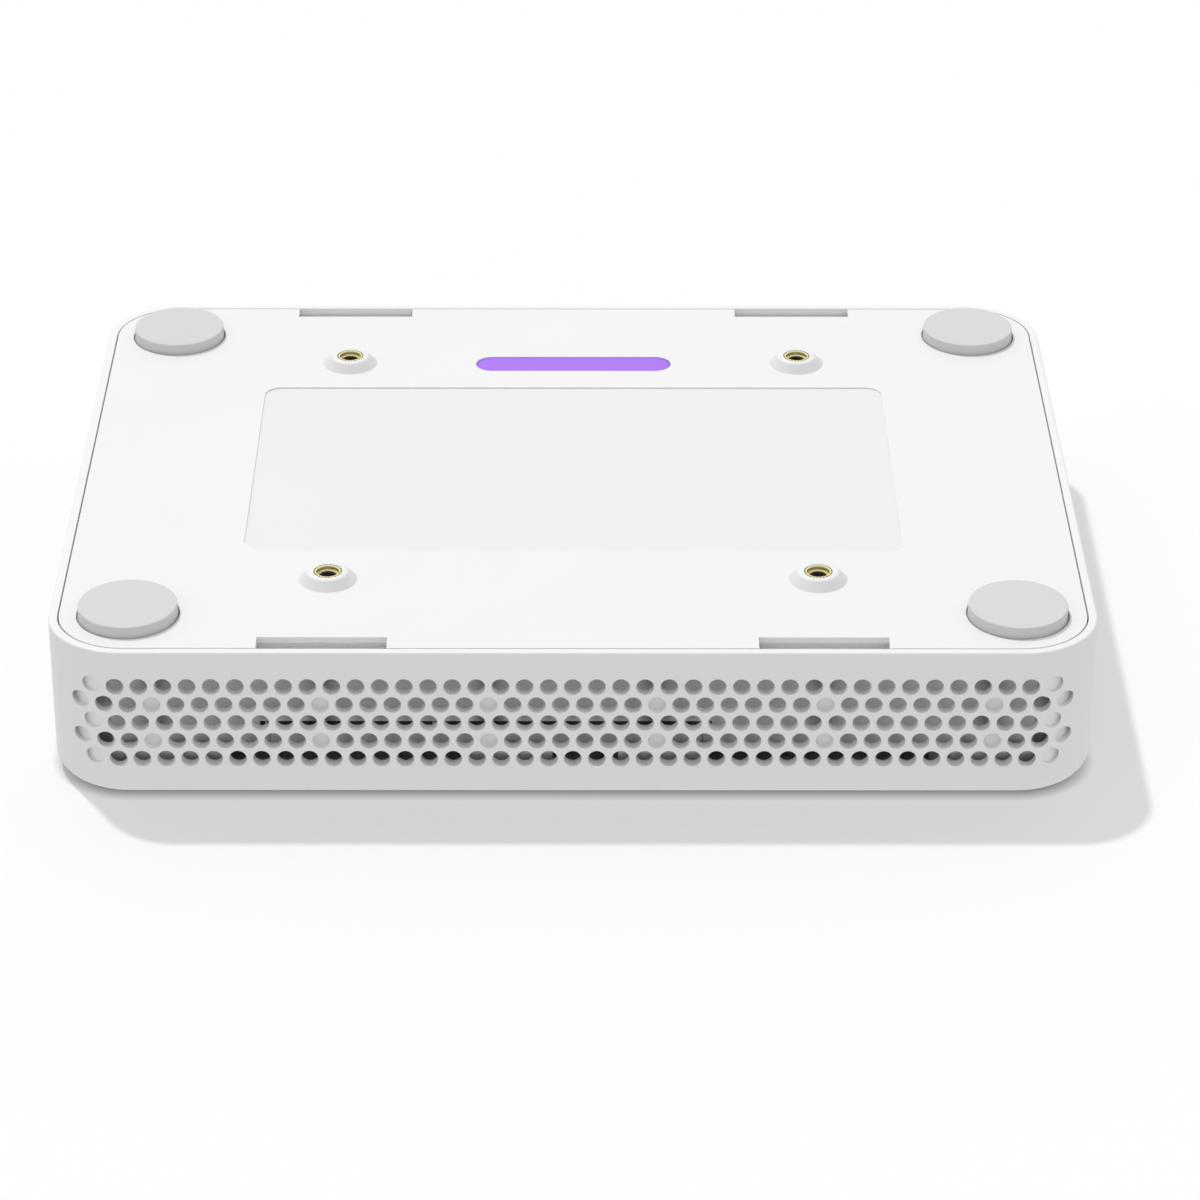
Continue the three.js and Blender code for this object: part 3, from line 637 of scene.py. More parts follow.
def rubber(name, colour):
    """Matt rubber with a fine pebbled skin."""
    material, tree, shader = new_material(name)
    pattern = placed_group(tree, moulded_grain_group, Grain=3400, Patches=60)
    feed(shader, {
        "Base Color": mixed(pattern.outputs["Patch"], scaled(colour, 0.975), scaled(colour, 1.025)),
        "Normal": bump(pattern.outputs["Height"], 0.012 * MM),
        "Roughness": 0.82,
        "Specular IOR Level": 0.25,
    })
    return material


def past_rectangle(place, half):
    """How far a place lies, in plan, past a rectangle around the middle with these half sizes."""
    side = vector_result("ABSOLUTE", vector_result("MULTIPLY", place, (1, 1, 0)))
    beyond = vector_result("SUBTRACT", side, (half[0], half[1], 0))
    return vector_result("LENGTH", vector_result("MAXIMUM", beyond))


def inlay_purple(colour):
    """Tinted plastic, deeper in tone along the inlay's rounded outline."""
    material, tree, shader = new_material("inlay purple")
    low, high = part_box("pill_inlay")
    half = (high - low) / 2
    place = vector_result("SUBTRACT", object_place(tree), tuple(middle("pill_inlay")))
    reach = past_rectangle(place, (half.x - half.y, 0))
    edge = ranged(reach, 0, 1, half.y - 0.55 * MM, half.y - 0.1 * MM)
    deep = (colour[0] * 0.62, colour[1] * 0.62, colour[2] * 0.97)
    pattern = placed_group(tree, moulded_grain_group, Grain=2600)
    feed(shader, {
        "Base Color": mixed(edge, colour, deep),
        "Roughness": ranged(pattern.outputs["Patch"], 0.36, 0.42),
        "Normal": bump(pattern.outputs["Height"], 0.002 * MM),
        "Specular IOR Level": 0.3,
    })
    return material


def board_mask(colour):
    """Solder mask over fine copper tracks, with small tinned pads."""
    material, tree, shader = new_material("board mask")
    place = object_place(tree)
    black, white = (0, 0, 0, 1), (1, 1, 1, 1)
    tracks = add_node(tree, "TexBrick", {
        "Vector": place, "Scale": 120, "Mortar Size": 0.06,
        "Color1": black, "Color2": black, "Mortar": white,
    })
    dots = add_node(tree, "TexVoronoi", {"Vector": place, "Scale": 260})
    pads = ranged(dots.outputs["Distance"], 1, 0, 0.10, 0.14)
    lines = mixed(tracks.outputs["Fac"], colour, scaled(colour, 2.2))
    feed(shader, {
        "Base Color": mixed(pads, lines, (0.42, 0.40, 0.36)),
        "Normal": bump(tracks.outputs["Fac"], 0.01 * MM),
        "Roughness": 0.5,
    })
    return material


def clear_plastic():
    """Milky light-guide plastic."""
    material, tree, shader = new_material("light guide")
    pattern = placed_group(tree, moulded_grain_group, Grain=1800)
    feed(shader, {
        "Base Color": mixed(pattern.outputs["Patch"], (0.70, 0.72, 0.73), (0.76, 0.78, 0.79)),
        "Normal": bump(pattern.outputs["Height"], 0.002 * MM),
        "Roughness": 0.2,
        "Transmission Weight": 0.25,
        "Coat Weight": 0.4,
    })
    return material


def make_finishes():
    """Every finish, by a short name."""
    colours = sizes("router_colours")
    return {
        "cover": plastic("cover white", colours.cover),
        "plate": plate_white(colours.plate),
        "inlay": inlay_purple(colours.inlay),
        "rubber": rubber("foot rubber", colours.rubber),
        "brass": insert_brass(colours.brass),
        "steel": metal("screw steel", (0.48, 0.48, 0.49), 0.3),
        "shield": metal("shield steel", (0.62, 0.61, 0.58), 0.28, lines=1400),
        "aluminium": metal("sink aluminium", colours.aluminium, 0.5, lines=1800),
        "antenna": metal("antenna metal", (0.82, 0.82, 0.81), 0.5, lines=1200),
        "gold": metal("contact gold", (0.95, 0.72, 0.30), 0.22),
        "board": board_mask(colours.board),
        "black": plastic("black plastic", (0.014, 0.014, 0.015), roughness=0.42, variation=0.1),
        "socket": plastic("socket plastic", colours.socket, roughness=0.42, variation=0.04),
        "button": plastic("button plastic", colours.button, roughness=0.4),
        "pad": rubber("thermal pad", (0.24, 0.30, 0.36)),
        "sleeve": plastic("lead sleeve", (0.05, 0.05, 0.052), roughness=0.38, variation=0.08),
        "clear": clear_plastic(),
        "green_light": plastic("green lens", (0.10, 0.42, 0.14), roughness=0.25, variation=0.05),
        "amber_light": plastic("amber lens", (0.62, 0.30, 0.04), roughness=0.25, variation=0.05),
    }


def paint(node, material):
    """Gives a frame node a finish."""
    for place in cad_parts[node].material_slots:
        place.material = material


# ------------------------------------------------------------------------------
# Cover
# ------------------------------------------------------------------------------

CORNER_SEGMENTS = 14
EDGE_SEGMENTS = 6


def cover_layer(bm, inset, top, corner, edge):
    """One skin of the cover, open at the rim, with round corners and a rounded top edge."""
    low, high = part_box("top_cover")
    others = set(bm.verts)
    other_faces = set(bm.faces)
    verts = block(bm, (low.x + inset, low.y + inset, low.z), (high.x - inset, high.y - inset, top))
    rounded(bm, along(edges_of(verts), 2), corner, CORNER_SEGMENTS)
    ceiling = [f for f in face_at(bm, 2, top) if not others.intersection(f.verts)]
    rounded(bm, list(ceiling[0].edges), edge, EDGE_SEGMENTS)
    floor = [f for f in face_at(bm, 2, low.z) if not others.intersection(f.verts)]
    rim = list(floor[0].edges)
    bmesh.ops.delete(bm, geom=floor, context="FACES_ONLY")
    if inset:
        bmesh.ops.reverse_faces(bm, faces=[f for f in bm.faces if f not in other_faces])
    return rim


def cover_shell():
    """Two skins joined at the rim, whose edges are then broken."""
    size = sizes("router_cover")
    low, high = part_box("top_cover")
    bm = bmesh.new()
    outer = cover_layer(bm, 0, high.z, size.corner, size.top_edge)
    wall = size.wall
    inner = cover_layer(bm, wall, high.z - size.ceiling, size.corner - wall, size.top_edge - wall)
    outer_verts = {v for e in outer for v in e.verts}
    bmesh.ops.bridge_loops(bm, edges=outer + inner)
    rim = [e for e in edges_at(bm, 2, low.z) if len(e.link_faces) == 2]
    inside = [e for e in rim if not outer_verts.intersection(e.verts)]
    rounded(bm, inside, size.rim_break, 2)
    rim = [e for e in edges_at(bm, 2, low.z) if len(e.link_faces) == 2]
    outside = [e for e in rim if is_outline(e, high)]
    rounded(bm, outside, size.rim_round, 4)
    return bm


def is_outline(edge, high):
    """True for a rim edge that lies on the cover's outer outline."""
    corner = sizes("router_cover").corner
    for vert in edge.verts:
        x = abs(vert.co.x) - (high.x - corner)
        y = abs(vert.co.y) - (high.y - corner)
        reach = math.hypot(max(x, 0), max(y, 0)) if x > 0 and y > 0 else max(x, y)
        if abs(reach - corner) > 0.02 * MM:
            return False
    return True


def hole_rows():
    """(x, height, on a rib, on a corner) of every front hole on one side of the middle."""
    size = sizes("router_cover")
    low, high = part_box("top_cover")
    flat_half = high.x - size.corner
    rise = size.pitch * math.sqrt(3) / 2
    for row in range(size.rows):
        staggered = row % 2 == 1
        start = 0.5 if staggered else 0
        last = math.floor((flat_half + size.past_corner) / size.pitch - start)
        for i in range(last + 2):
            on_rib = staggered and i % size.rib_every == (size.rib_every - 1) // 2
            yield (start + i) * size.pitch, low.z + size.first_row + row * rise, on_rib, i > last


def cut_front_holes(bm):
    """Cutters of the front wall: through holes, and blind holes on the ribs and the corners."""
    size = sizes("router_cover")
    low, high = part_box("top_cover")
    flat_half = high.x - size.corner
    mouth = size.hole_mouth
    depth = size.wall + size.draft + PAST
    far_depth = size.wall + size.past_corner
    lead_in = [(0, -PAST), (size.hole + 3 * mouth, -PAST), (size.hole + 1.2 * mouth, -0.2 * mouth)]
    barrel = [(size.hole, mouth), (size.hole, depth), (0, depth)]
    far = [(size.hole, mouth), (size.hole, far_depth), (0, far_depth)]
    bottom = 0.3 * MM
    blind = [(size.hole, mouth), (size.hole, size.dimple - bottom)]
    blind += [(size.hole - bottom, size.dimple), (0, size.dimple)]
    through = stamp_mesh(lead_in + barrel, HOLE_SIDES)
    slanted = stamp_mesh(lead_in + far, HOLE_SIDES)
    dimple = stamp_mesh(lead_in + blind, HOLE_SIDES)
    on_curve = bmesh.new()
    straight = stamp_mesh(rod(size.hole, 0, size.corner), 2 * HOLE_SIDES)
    for x, z, on_rib, on_corner in hole_rows():
        for side in (1,) if x == 0 else (-1, 1):
            if on_corner:
                stamp(on_curve, straight, lying_at(side * x, low.y - PAST, z))
            elif x > flat_half:
                curve = size.corner - math.sqrt(size.corner ** 2 - (x - flat_half) ** 2)
                stamp(bm, slanted, lying_at(side * x, low.y + curve, z))
            else:
                stamp(bm, dimple if on_rib else through, lying_at(side * x, low.y, z))
    core = stamp_mesh(rod(size.corner_floor, low.z - PAST, high.z), CORE_SIDES)
    cores = bmesh.new()
    for side in (-1, 1):
        stamp(cores, core, upright_at(side * (flat_half - size.corner_shift), low.y + size.corner))
    joined(bm, combined(on_curve, cores, "DIFFERENCE"))


def joined(bm, other):
    """Adds one mesh to another, and frees it."""
    mesh = as_mesh(other, "joined")
    bm.from_mesh(mesh)
    bpy.data.meshes.remove(mesh)


def cover_ribs(bm):
    """Ribs behind the front wall."""
    size = sizes("router_cover")
    low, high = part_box("top_cover")
    inside = low.y + size.wall
    step = size.rib_every * size.pitch
    x = step / 2
    while x < high.x - size.corner:
        for side in (-1, 1):
            block(
                bm,
                (side * x - size.rib_width / 2, inside - PAST / 2, low.z + size.rib_start),
                (side * x + size.rib_width / 2, inside + size.rib_depth, high.z - size.ceiling / 2)
            )
        x += step


def cover_draft():
    """The slope by which the front wall gets thicker towards the top, rooted in the wall."""
    size = sizes("router_cover")
    low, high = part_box("top_cover")
    inside = low.y + size.wall
    start, top = low.z + size.rib_start + PAST, high.z - 0.7 * size.ceiling
    root = inside - 0.3 * PAST
    slope = [(root, start), (inside, start), (inside + size.draft, top), (root, top)]
    half = high.x - size.corner
    bm = bmesh.new()
    pushed_along(bm, [(-half, y, z) for y, z in slope], (2 * half, 0, 0))
    return bm


def cover_posts(bm, bores):
    """Posts that hang from the ceiling, and the bores that go in them."""
    size = sizes("router_cover")
    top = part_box("top_cover")[1].z - size.ceiling / 2
    case_bore, board_bore = 1.7 * MM, 1.5 * MM
    kinds = (
        ("case_screw_", "bottom_plate", case_bore + size.post_wall, case_bore),
        ("board_screw_", "main_board", size.board_post, board_bore),
    )
    for corner in CORNERS:
        for kind, under, radius, bore in kinds:
            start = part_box(under)[1].z + GAP
            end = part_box(kind + corner)[1].z + GAP
            place = upright_over(kind + corner)
            stamp(bm, stamp_mesh(rod(radius, start, top), POST_SIDES), place)
            stamp(bores, stamp_mesh(rod(bore, start - PAST, end), POST_SIDES), place)


def cut_rear_openings(bm):
    """Windows for the sockets and the buttons, and the slot for the status light."""
    size = sizes("router_cover")
    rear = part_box("top_cover")[1].y
    inner, outer = rear - size.wall - PAST, rear + PAST
    window_round = 0.4 * MM
    for jack in JACKS:
        low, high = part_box(jack)
        verts = block(bm, (low.x - GAP, inner, low.z - GAP), (high.x + GAP, outer, high.z + GAP))
        rounded(bm, along(edges_of(verts), 1), window_round, 3)
    mouth = 0.25 * MM
    depth = size.wall + PAST
    for node, piece_radius in (("power_inlet", COLLAR_RADIUS), *BUTTONS.items()):
        z = inlet_height() if node == "power_inlet" else middle(node).z
        radius = piece_radius + GAP
        points = [(0, -PAST), (radius + 2 * mouth, -PAST), (radius + 1.2 * mouth, -0.2 * mouth)]
        points += [(radius, mouth), (radius, depth), (0, depth)]
        stamp(bm, stamp_mesh(points, OPENING_SIDES), lying_at(middle(node).x, rear, z, inwards=-1))
    low, high = light_face()
    stadium(bm, low - Vector((GAP, GAP, size.ceiling + PAST)), high + Vector((GAP, GAP, PAST)), 8)


def inlet_height():
    """Height of the round power socket's middle."""
    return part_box("power_inlet")[1].z - 5.5 * MM


def light_face():
    """Corners of the status light's flat end in the top face."""
    low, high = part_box("status_light_pipe")
    width = 3 * MM
    return Vector((low.x, low.y, high.z)), Vector((high.x, low.y + width, high.z))


def make_cover(finishes):
    additions, cutters = bmesh.new(), bmesh.new()
    cover_ribs(additions)
    cover_posts(additions, cutters)
    cut_front_holes(cutters)
    cut_rear_openings(cutters)
    drafted = combined(cover_shell(), cover_draft(), "UNION")
    whole = combined(drafted, additions, "UNION")
    cover = combined(whole, cutters, "DIFFERENCE")
    finished(cover, "cover", finishes["cover"], ["top_cover"])


# ------------------------------------------------------------------------------
# Bottom plate
# ------------------------------------------------------------------------------

def plate_levels():
    """Outer level, inner level and top of the lip of the plate."""
    size = sizes("router_plate")
    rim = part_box("top_cover")[0].z
    return rim, rim + size.thickness, rim + size.thickness + size.lip_height


def plate_half():
    size = sizes("router_plate")
    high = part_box("top_cover")[1]
    inset = sizes("router_cover").wall + size.seam
    return Vector((high.x - inset, high.y - inset))


def plate_tray():
    """The flat plate with its lip, as one solid."""
    size = sizes("router_plate")
    rim, inner, lip_top = plate_levels()
    half = plate_half()
    bm = bmesh.new()
    verts = block(bm, (-half.x, -half.y, rim), (half.x, half.y, lip_top))
    rounded(bm, along(edges_of(verts), 2), size.corner, CORNER_SEGMENTS)
    rounded(bm, list(face_at(bm, 2, rim)[0].edges), size.edge, 2)
    hollow = bmesh.new()
    x, y = half - Vector((size.lip, size.lip))
    verts = block(hollow, (-x, -y, inner), (x, y, lip_top + PAST))
    rounded(hollow, along(edges_of(verts), 2), size.corner - size.lip, CORNER_SEGMENTS)
    return combined(bm, hollow, "DIFFERENCE")


def plate_additions():
    """Cups for the feet, bosses for the inserts, trays for the pockets, and a bed for the inlay."""
    size = sizes("router_plate")
    rim = plate_levels()[0]
    root = rim + size.thickness / 2
    bm = bmesh.new()
    cup = size.well + size.well_wall
    cup_top = foot_floor() + size.well_wall
    seat, seat_top = 4.65 * MM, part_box("bottom_plate")[1].z
    cup_points = [(0, root), (cup, root), (cup, cup_top)]
    cup_points += [(seat, cup_top), (seat, seat_top), (0, seat_top)]
    cup_mesh = stamp_mesh(cup_points, CUP_SIDES)
    insert_low, insert_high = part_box("threaded_insert_front_left")
    bore = half_width("threaded_insert_front_left") + GAP
    tip = bore + size.boss_ring
    base = tip + size.boss_flare
    foot = base + 0.2 * MM
    post = bore + 1.8 * MM
    post_top = insert_high.z + 1.5 * MM
    boss_points = [(0, insert_low.z), (tip - 0.12 * MM, insert_low.z)]
    boss_points += [(tip + 0.05 * MM, insert_low.z + 0.1 * MM), (base - 0.15 * MM, rim - 0.12 * MM)]
    boss_points += [(foot, rim + 0.05 * MM), (foot, root)]
    boss_points += [(post, root), (post, post_top), (0, post_top)]
    boss_mesh = stamp_mesh(boss_points, CUP_SIDES)
    for corner in CORNERS:
        stamp(bm, cup_mesh, upright_over("foot_" + corner))
        stamp(bm, boss_mesh, upright_over("threaded_insert_" + corner))
    wall = 1.2 * MM
    near = plate_half().y - 0.2 * MM
    far = plate_half().y - size.pocket_width - size.pocket_back - wall
    half = size.pocket_length / 2 + wall
    for x, side in pocket_places():
        ends = sorted((side * near, side * far))
        block(bm, (x - half, ends[0], root), (x + half, ends[1], rim + size.pocket_depth + wall))
    low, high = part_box("pill_inlay")
    bed = 1.5 * MM
    stadium(bm, Vector((low.x - bed, low.y - bed, root)), high + Vector((bed, bed, bed)), 8)
    return bm


def foot_floor():
    """The level of the floor of a foot's well."""
    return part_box("foot_front_left")[1].z + GAP


def pocket_places():
    """x, and the side that it opens to, of each pocket."""
    for corner in CORNERS:
        spot = middle("threaded_insert_" + corner)
        yield spot.x, math.copysign(1, spot.y)


def cut_pocket(bm, x, side):
    """A stepped pocket that runs out over the plate's edge."""
    size = sizes("router_plate")
    rim = plate_levels()[0]
    edge = plate_half().y
    far = edge - size.pocket_width
    outline = [
        (far, rim - PAST),
        (far, rim + size.pocket_brow),
        (far - size.pocket_back, rim + size.pocket_brow),
        (far - size.pocket_back, rim + size.pocket_depth),
        (edge - size.pocket_step, rim + size.pocket_depth),
        (edge - size.pocket_step, rim + size.pocket_step_depth),
        (edge + PAST, rim + size.pocket_step_depth),
        (edge + PAST, rim - PAST),
    ]
    start = x - size.pocket_length / 2
    pushed_along(bm, [(start, side * y, z) for y, z in outline], (size.pocket_length, 0, 0))


def cut_label_field(bm):
    """A shallow field with one cut corner, two round ones and one that is nearly sharp."""
    size = sizes("router_plate")
    rim = plate_levels()[0]
    x, y = size.label_width / 2, size.label_depth / 2
    verts = block(bm, (-x, -y, rim - PAST), (x, y, rim + size.label_recess))
    uprights = {}
    for edge in along(edges_of(verts), 2):
        spot = edge.verts[0].co
        uprights[(spot.x > 0, spot.y > 0)] = edge
    cut, rounding, small = 3.2 * MM, 3.6 * MM, 1.5 * MM
    corners = (
        ((True, False), cut, 1),
        ((True, True), rounding, 8),
        ((False, True), rounding, 8),
        ((False, False), small, 5),
    )
    for key, radius, segments in corners:
        rounded(bm, [uprights[key]], radius, segments)


def plate_cutters():
    size = sizes("router_plate")
    rim = plate_levels()[0]
    bm = bmesh.new()
    floor = foot_floor()
    lip = size.well_lip
    mouth = size.well + lip * 1.2
    curve = quarter((size.well + lip, rim + lip), lip, 180, 5)
    head, shank = 3.05 * MM, 1.7 * MM
    head_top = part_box("case_screw_front_left")[0].z + 2.3 * MM
    well_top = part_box("bottom_plate")[1].z + PAST
    well_points = [(0, rim - PAST), (mouth, rim - PAST), (mouth, rim - 0.02 * MM)]
    well_points += [*reversed(curve[:-1]), (size.well, floor), (head, floor), (head, head_top)]
    well_points += [(shank, head_top), (shank, well_top), (0, well_top)]
    well_mesh = stamp_mesh(well_points, WIDE_SIDES)
    insert_low, insert_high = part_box("threaded_insert_front_left")
    bore = half_width("threaded_insert_front_left") - 0.02 * MM
    bore_mesh = stamp_mesh(rod(bore, insert_low.z - PAST, insert_high.z + GAP), ROUND_SIDES)
    for corner in CORNERS:
        stamp(bm, well_mesh, upright_over("foot_" + corner))
        stamp(bm, bore_mesh, upright_over("threaded_insert_" + corner))
    for x, side in pocket_places():
        cut_pocket(bm, x, side)
    cut_label_field(bm)
    low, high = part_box("pill_inlay")
    seam = 0.06 * MM
    slot_low = Vector((low.x - seam, low.y - seam, rim - PAST))
    stadium(bm, slot_low, high + Vector((seam, seam, GAP)), 10)
    return bm


def make_plate(finishes):
    whole = combined(plate_tray(), plate_additions(), "UNION")
    plate = combined(whole, plate_cutters(), "DIFFERENCE")
    finished(plate, "plate", finishes["plate"], ["bottom_plate"])


def make_inlay(finishes):
    size = sizes("router_details")
    low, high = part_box("pill_inlay")
    bm = bmesh.new()
    stadium(bm, low, high, 12)
    rounded(bm, list(face_at(bm, 2, low.z)[0].edges), size.inlay_edge, 3)
    finished(bm, "inlay", finishes["inlay"], ["pill_inlay"])


# ------------------------------------------------------------------------------
# Feet, inserts and screws
# ------------------------------------------------------------------------------

def make_feet(finishes):
    size = sizes("router_details")
    low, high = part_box("foot_front_left")
    flange = half_width("foot_front_left")
    flange_start, step, chamfer = high.z - 0.7 * MM, 0.25 * MM, 0.1 * MM
    side = flange - step
    edge = size.foot_edge
    points = [(0, low.z), *quarter((side - edge, low.z + edge), edge, 270, 4)]
    points += [(side, flange_start - step), (flange, flange_start), (flange, high.z - chamfer)]
    points += [(flange - chamfer, high.z), (0, high.z)]
    mesh = stamp_mesh(points, WIDE_SIDES)
    for corner in CORNERS:
        bm = bmesh.new()
        stamp(bm, mesh, upright_over("foot_" + corner))
        finished(bm, "rubber_foot_" + corner, finishes["rubber"], ["foot_" + corner])


KNURL_TEETH = 24


def insert_profile():
    """Outline of an insert's wall: mouth with a ledge, thread and flat end. Also its radius."""
    size = sizes("router_details")
    low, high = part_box("threaded_insert_front_left")
    outer = half_width("threaded_insert_front_left")
    bore = 1.65 * MM
    ledge, bore_start = low.z + 0.85 * MM, low.z + 1.1 * MM
    points = [(outer - 0.12 * MM, low.z), (outer - 0.55 * MM, low.z)]
    points += [(outer - 0.75 * MM, low.z + 0.3 * MM), (outer - 0.8 * MM, ledge)]
    points += [(bore + 0.2 * MM, ledge), (bore, bore_start)]
    z = bore_start + size.thread_pitch / 4
    while z + size.thread_pitch < high.z:
        points += [(bore - size.thread_depth, z), (bore, z + size.thread_pitch / 2)]
        z += size.thread_pitch
    points += [(bore, high.z), (outer - 0.3 * MM, high.z)]
    points += [(outer, high.z - 0.4 * MM), (outer, low.z + 0.15 * MM)]
    return points, outer


def make_inserts(finishes):
    size = sizes("router_details")
    points, outer = insert_profile()
    bm = bmesh.new()
    turned(bm, points, 2 * KNURL_TEETH, closed=True)
    for vert in bm.verts:
        angle = math.atan2(vert.co.y, vert.co.x)
        groove = round(angle * KNURL_TEETH / math.pi) % 2
        if groove and vert.co.xy.length > outer - 0.2 * MM:
            vert.co.xy *= 1 - size.knurl / outer
    mesh = as_mesh(bm, "insert")
    for corner in CORNERS:
        node = "threaded_insert_" + corner
        bm = bmesh.new()
        stamp(bm, mesh, upright_over(node))
        finished(bm, "brass_insert_" + corner, finishes["brass"], [node], sharp=30)


def screw_mesh(node, shank, head_height):
    """A pan-head screw with a cross recess and a thread, head down, at the origin in plan."""
    low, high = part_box(node)
    head = half_width(node)
    head_top = low.z + head_height
    pitch = 0.9 * MM
    root = shank * 0.8
    points = [(0, low.z), (head * 0.55, low.z), (head * 0.85, low.z + 0.3 * MM)]
    points += [(head, low.z + 0.9 * MM), (head, head_top), (root, head_top)]
    z = head_top + pitch
    while z + pitch < high.z:
        points += [(shank, z), (root, z + pitch / 2)]
        z += pitch
    points += [(shank * 0.7, high.z - 0.3 * MM), (0, high.z)]
    bm = bmesh.new()
    turned(bm, points, SCREW_SIDES)
    reach, half, floor = head * 0.5, 0.35 * MM, low.z + 1.1 * MM
    for turn in (0, math.pi / 2):
        recess = bmesh.new()
        verts = block(recess, (-reach, -half, low.z - PAST), (reach, half, floor))
        bmesh.ops.rotate(recess, cent=(0, 0, 0), matrix=Matrix.Rotation(turn, 3, "Z"), verts=verts)
        bm = combined(bm, recess, "DIFFERENCE")
    return as_mesh(bm, "screw")


def make_screws(finishes):
    kinds = (("case_screw_", 1.4 * MM, 2 * MM), ("board_screw_", 1.2 * MM, 1.7 * MM))
    for kind, shank, head_height in kinds:
        mesh = screw_mesh(kind + CORNERS[0], shank, head_height)
        for corner in CORNERS:
            bm = bmesh.new()
            stamp(bm, mesh, upright_over(kind + corner))
            name = f"{kind}{corner}_finished"
            finished(bm, name, finishes["steel"], [kind + corner], sharp=35)


# ------------------------------------------------------------------------------
# Sockets and buttons
# ------------------------------------------------------------------------------

CONTACTS = 8


def socket_cavity(bm, low, high):
    """The plug's room, with the slot for its latch below."""
    x = (low.x + high.x) / 2
    wide, narrow = 5.9 * MM, 3.2 * MM
    latch_floor, floor = low.z + 1.2 * MM, low.z + 4.4 * MM
    roof = floor + 7.2 * MM
    outline = [(-narrow, latch_floor), (narrow, latch_floor), (narrow, floor), (wide, floor)]
    outline += [(wide, roof), (-wide, roof), (-wide, floor), (-narrow, floor)]
    back = high.y - 14 * MM
    pushed_along(bm, [(x + u, back, v) for u, v in outline], (0, high.y - back + PAST, 0))


def socket_contacts(low, high):
    """Eight spring wires that slope down from the roof of a socket."""
    size = sizes("router_details")
    x = (low.x + high.x) / 2
    half = size.contact / 2
    thickness, slope = 0.5 * MM, 3.4 * MM
    top = low.z + 11.8 * MM
    front, back = high.y - 4 * MM, high.y - 12.5 * MM
    bm = bmesh.new()
    for i in range(CONTACTS):
        spot = x + (i - (CONTACTS - 1) / 2) * size.contact_pitch
        for vert in block(bm, (spot - half, back, top - thickness), (spot + half, front, top)):
            if vert.co.y < (front + back) / 2:
                vert.co.z -= slope
    return bm


def make_sockets(finishes):
    size = sizes("router_details")
    for jack in JACKS:
        low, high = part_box(jack)
        bm = bmesh.new()
        block(bm, low, high)
        rounded(bm, list(face_at(bm, 1, high.y)[0].edges), size.socket_edge, 3)
        cavity = bmesh.new()
        socket_cavity(cavity, low, high)
        body = combined(bm, cavity, "DIFFERENCE")
        finished(body, jack + "_housing", finishes["socket"], [jack])
        finished(socket_contacts(low, high), jack + "_contacts", finishes["gold"])
        face, half = high.y + 0.05 * MM, 1.4 * MM
        for side, light in ((-1, "green_light"), (1, "amber_light")):
            x = (low.x + high.x) / 2 + side * 5.2 * MM
            lens = bmesh.new()
            back, bottom, top = high.y - 0.6 * MM, high.z - 1.45 * MM, high.z - 0.45 * MM
            block(lens, (x - half, back, bottom), (x + half, face, top))
            rounded(lens, list(face_at(lens, 1, face)[0].edges), 0.12 * MM, 2)
            finished(lens, f"{jack}_{light}", finishes[light])


def make_power_inlet(finishes):
    """The housing with its round collar, and the centre pin."""
    low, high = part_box("power_inlet")
    place = lying_at(middle("power_inlet").x, high.y, inlet_height(), inwards=-1)
    body, collar, bore, pin = (bmesh.new() for _ in range(4))
    block(body, low, (high.x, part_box("top_cover")[1].y - 2.1 * MM, high.z))
    rounded(body, body.edges[:], 0.2 * MM, 2)
    edge, depth = 0.3 * MM, 2.6 * MM
    points = [(0, 0), (3.3 * MM, 0), *quarter((COLLAR_RADIUS - edge, edge), edge, 270, 3)]
    points += [(COLLAR_RADIUS, depth), (0, depth)]
    stamp(collar, stamp_mesh(points, ROUND_SIDES), place)
    radius, depth = 3.2 * MM, 9.5 * MM
    points = [(0, -PAST), (radius + edge, -PAST), (radius, edge), (radius, depth), (0, depth)]
    stamp(bore, stamp_mesh(points, ROUND_SIDES), place)
    housing = combined(combined(body, collar, "UNION"), bore, "DIFFERENCE")
    finished(housing, "power_housing", finishes["black"], ["power_inlet"])
    tip, radius, end = 1 * MM, 1 * MM, 9.8 * MM
    points = [(0, tip), (0.5 * MM, tip), (0.9 * MM, 1.3 * MM)]
    points += [(radius, 1.8 * MM), (radius, end), (0, end)]
    stamp(pin, stamp_mesh(points, PIN_SIDES), place)
    finished(pin, "power_pin", finishes["gold"])


def make_buttons(finishes):
    size = sizes("router_details")
    wall_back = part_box("top_cover")[1].y - sizes("router_cover").wall - GAP
    for node, radius in BUTTONS.items():
        low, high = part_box(node)
        spot = middle(node)
        cap = node.replace("button", "cap")
        edge = min(size.button_edge, radius / 3)
        stem, end = radius * 0.45, high.y - low.y
        flange, flange_start = half_width(node), high.y - wall_back
        flange_end = flange_start + 1.4 * MM
        points = [(0, 0.12 * MM), (radius * 0.55, 0.08 * MM)]
        points += quarter((radius - edge, edge), edge, 270, 4)
        points += [(radius, flange_start), (flange, flange_start), (flange, flange_end)]
        points += [(stem, flange_end), (stem, end), (0, end)]
        bm = bmesh.new()
        stamp(bm, stamp_mesh(points, ROUND_SIDES), lying_at(spot.x, high.y, spot.z, inwards=-1))
        finished(bm, cap, finishes["button"], [node], body=cap)


# ------------------------------------------------------------------------------
# Board, heatsinks, antennas and the status light: the frame's own shapes, painted
# ------------------------------------------------------------------------------

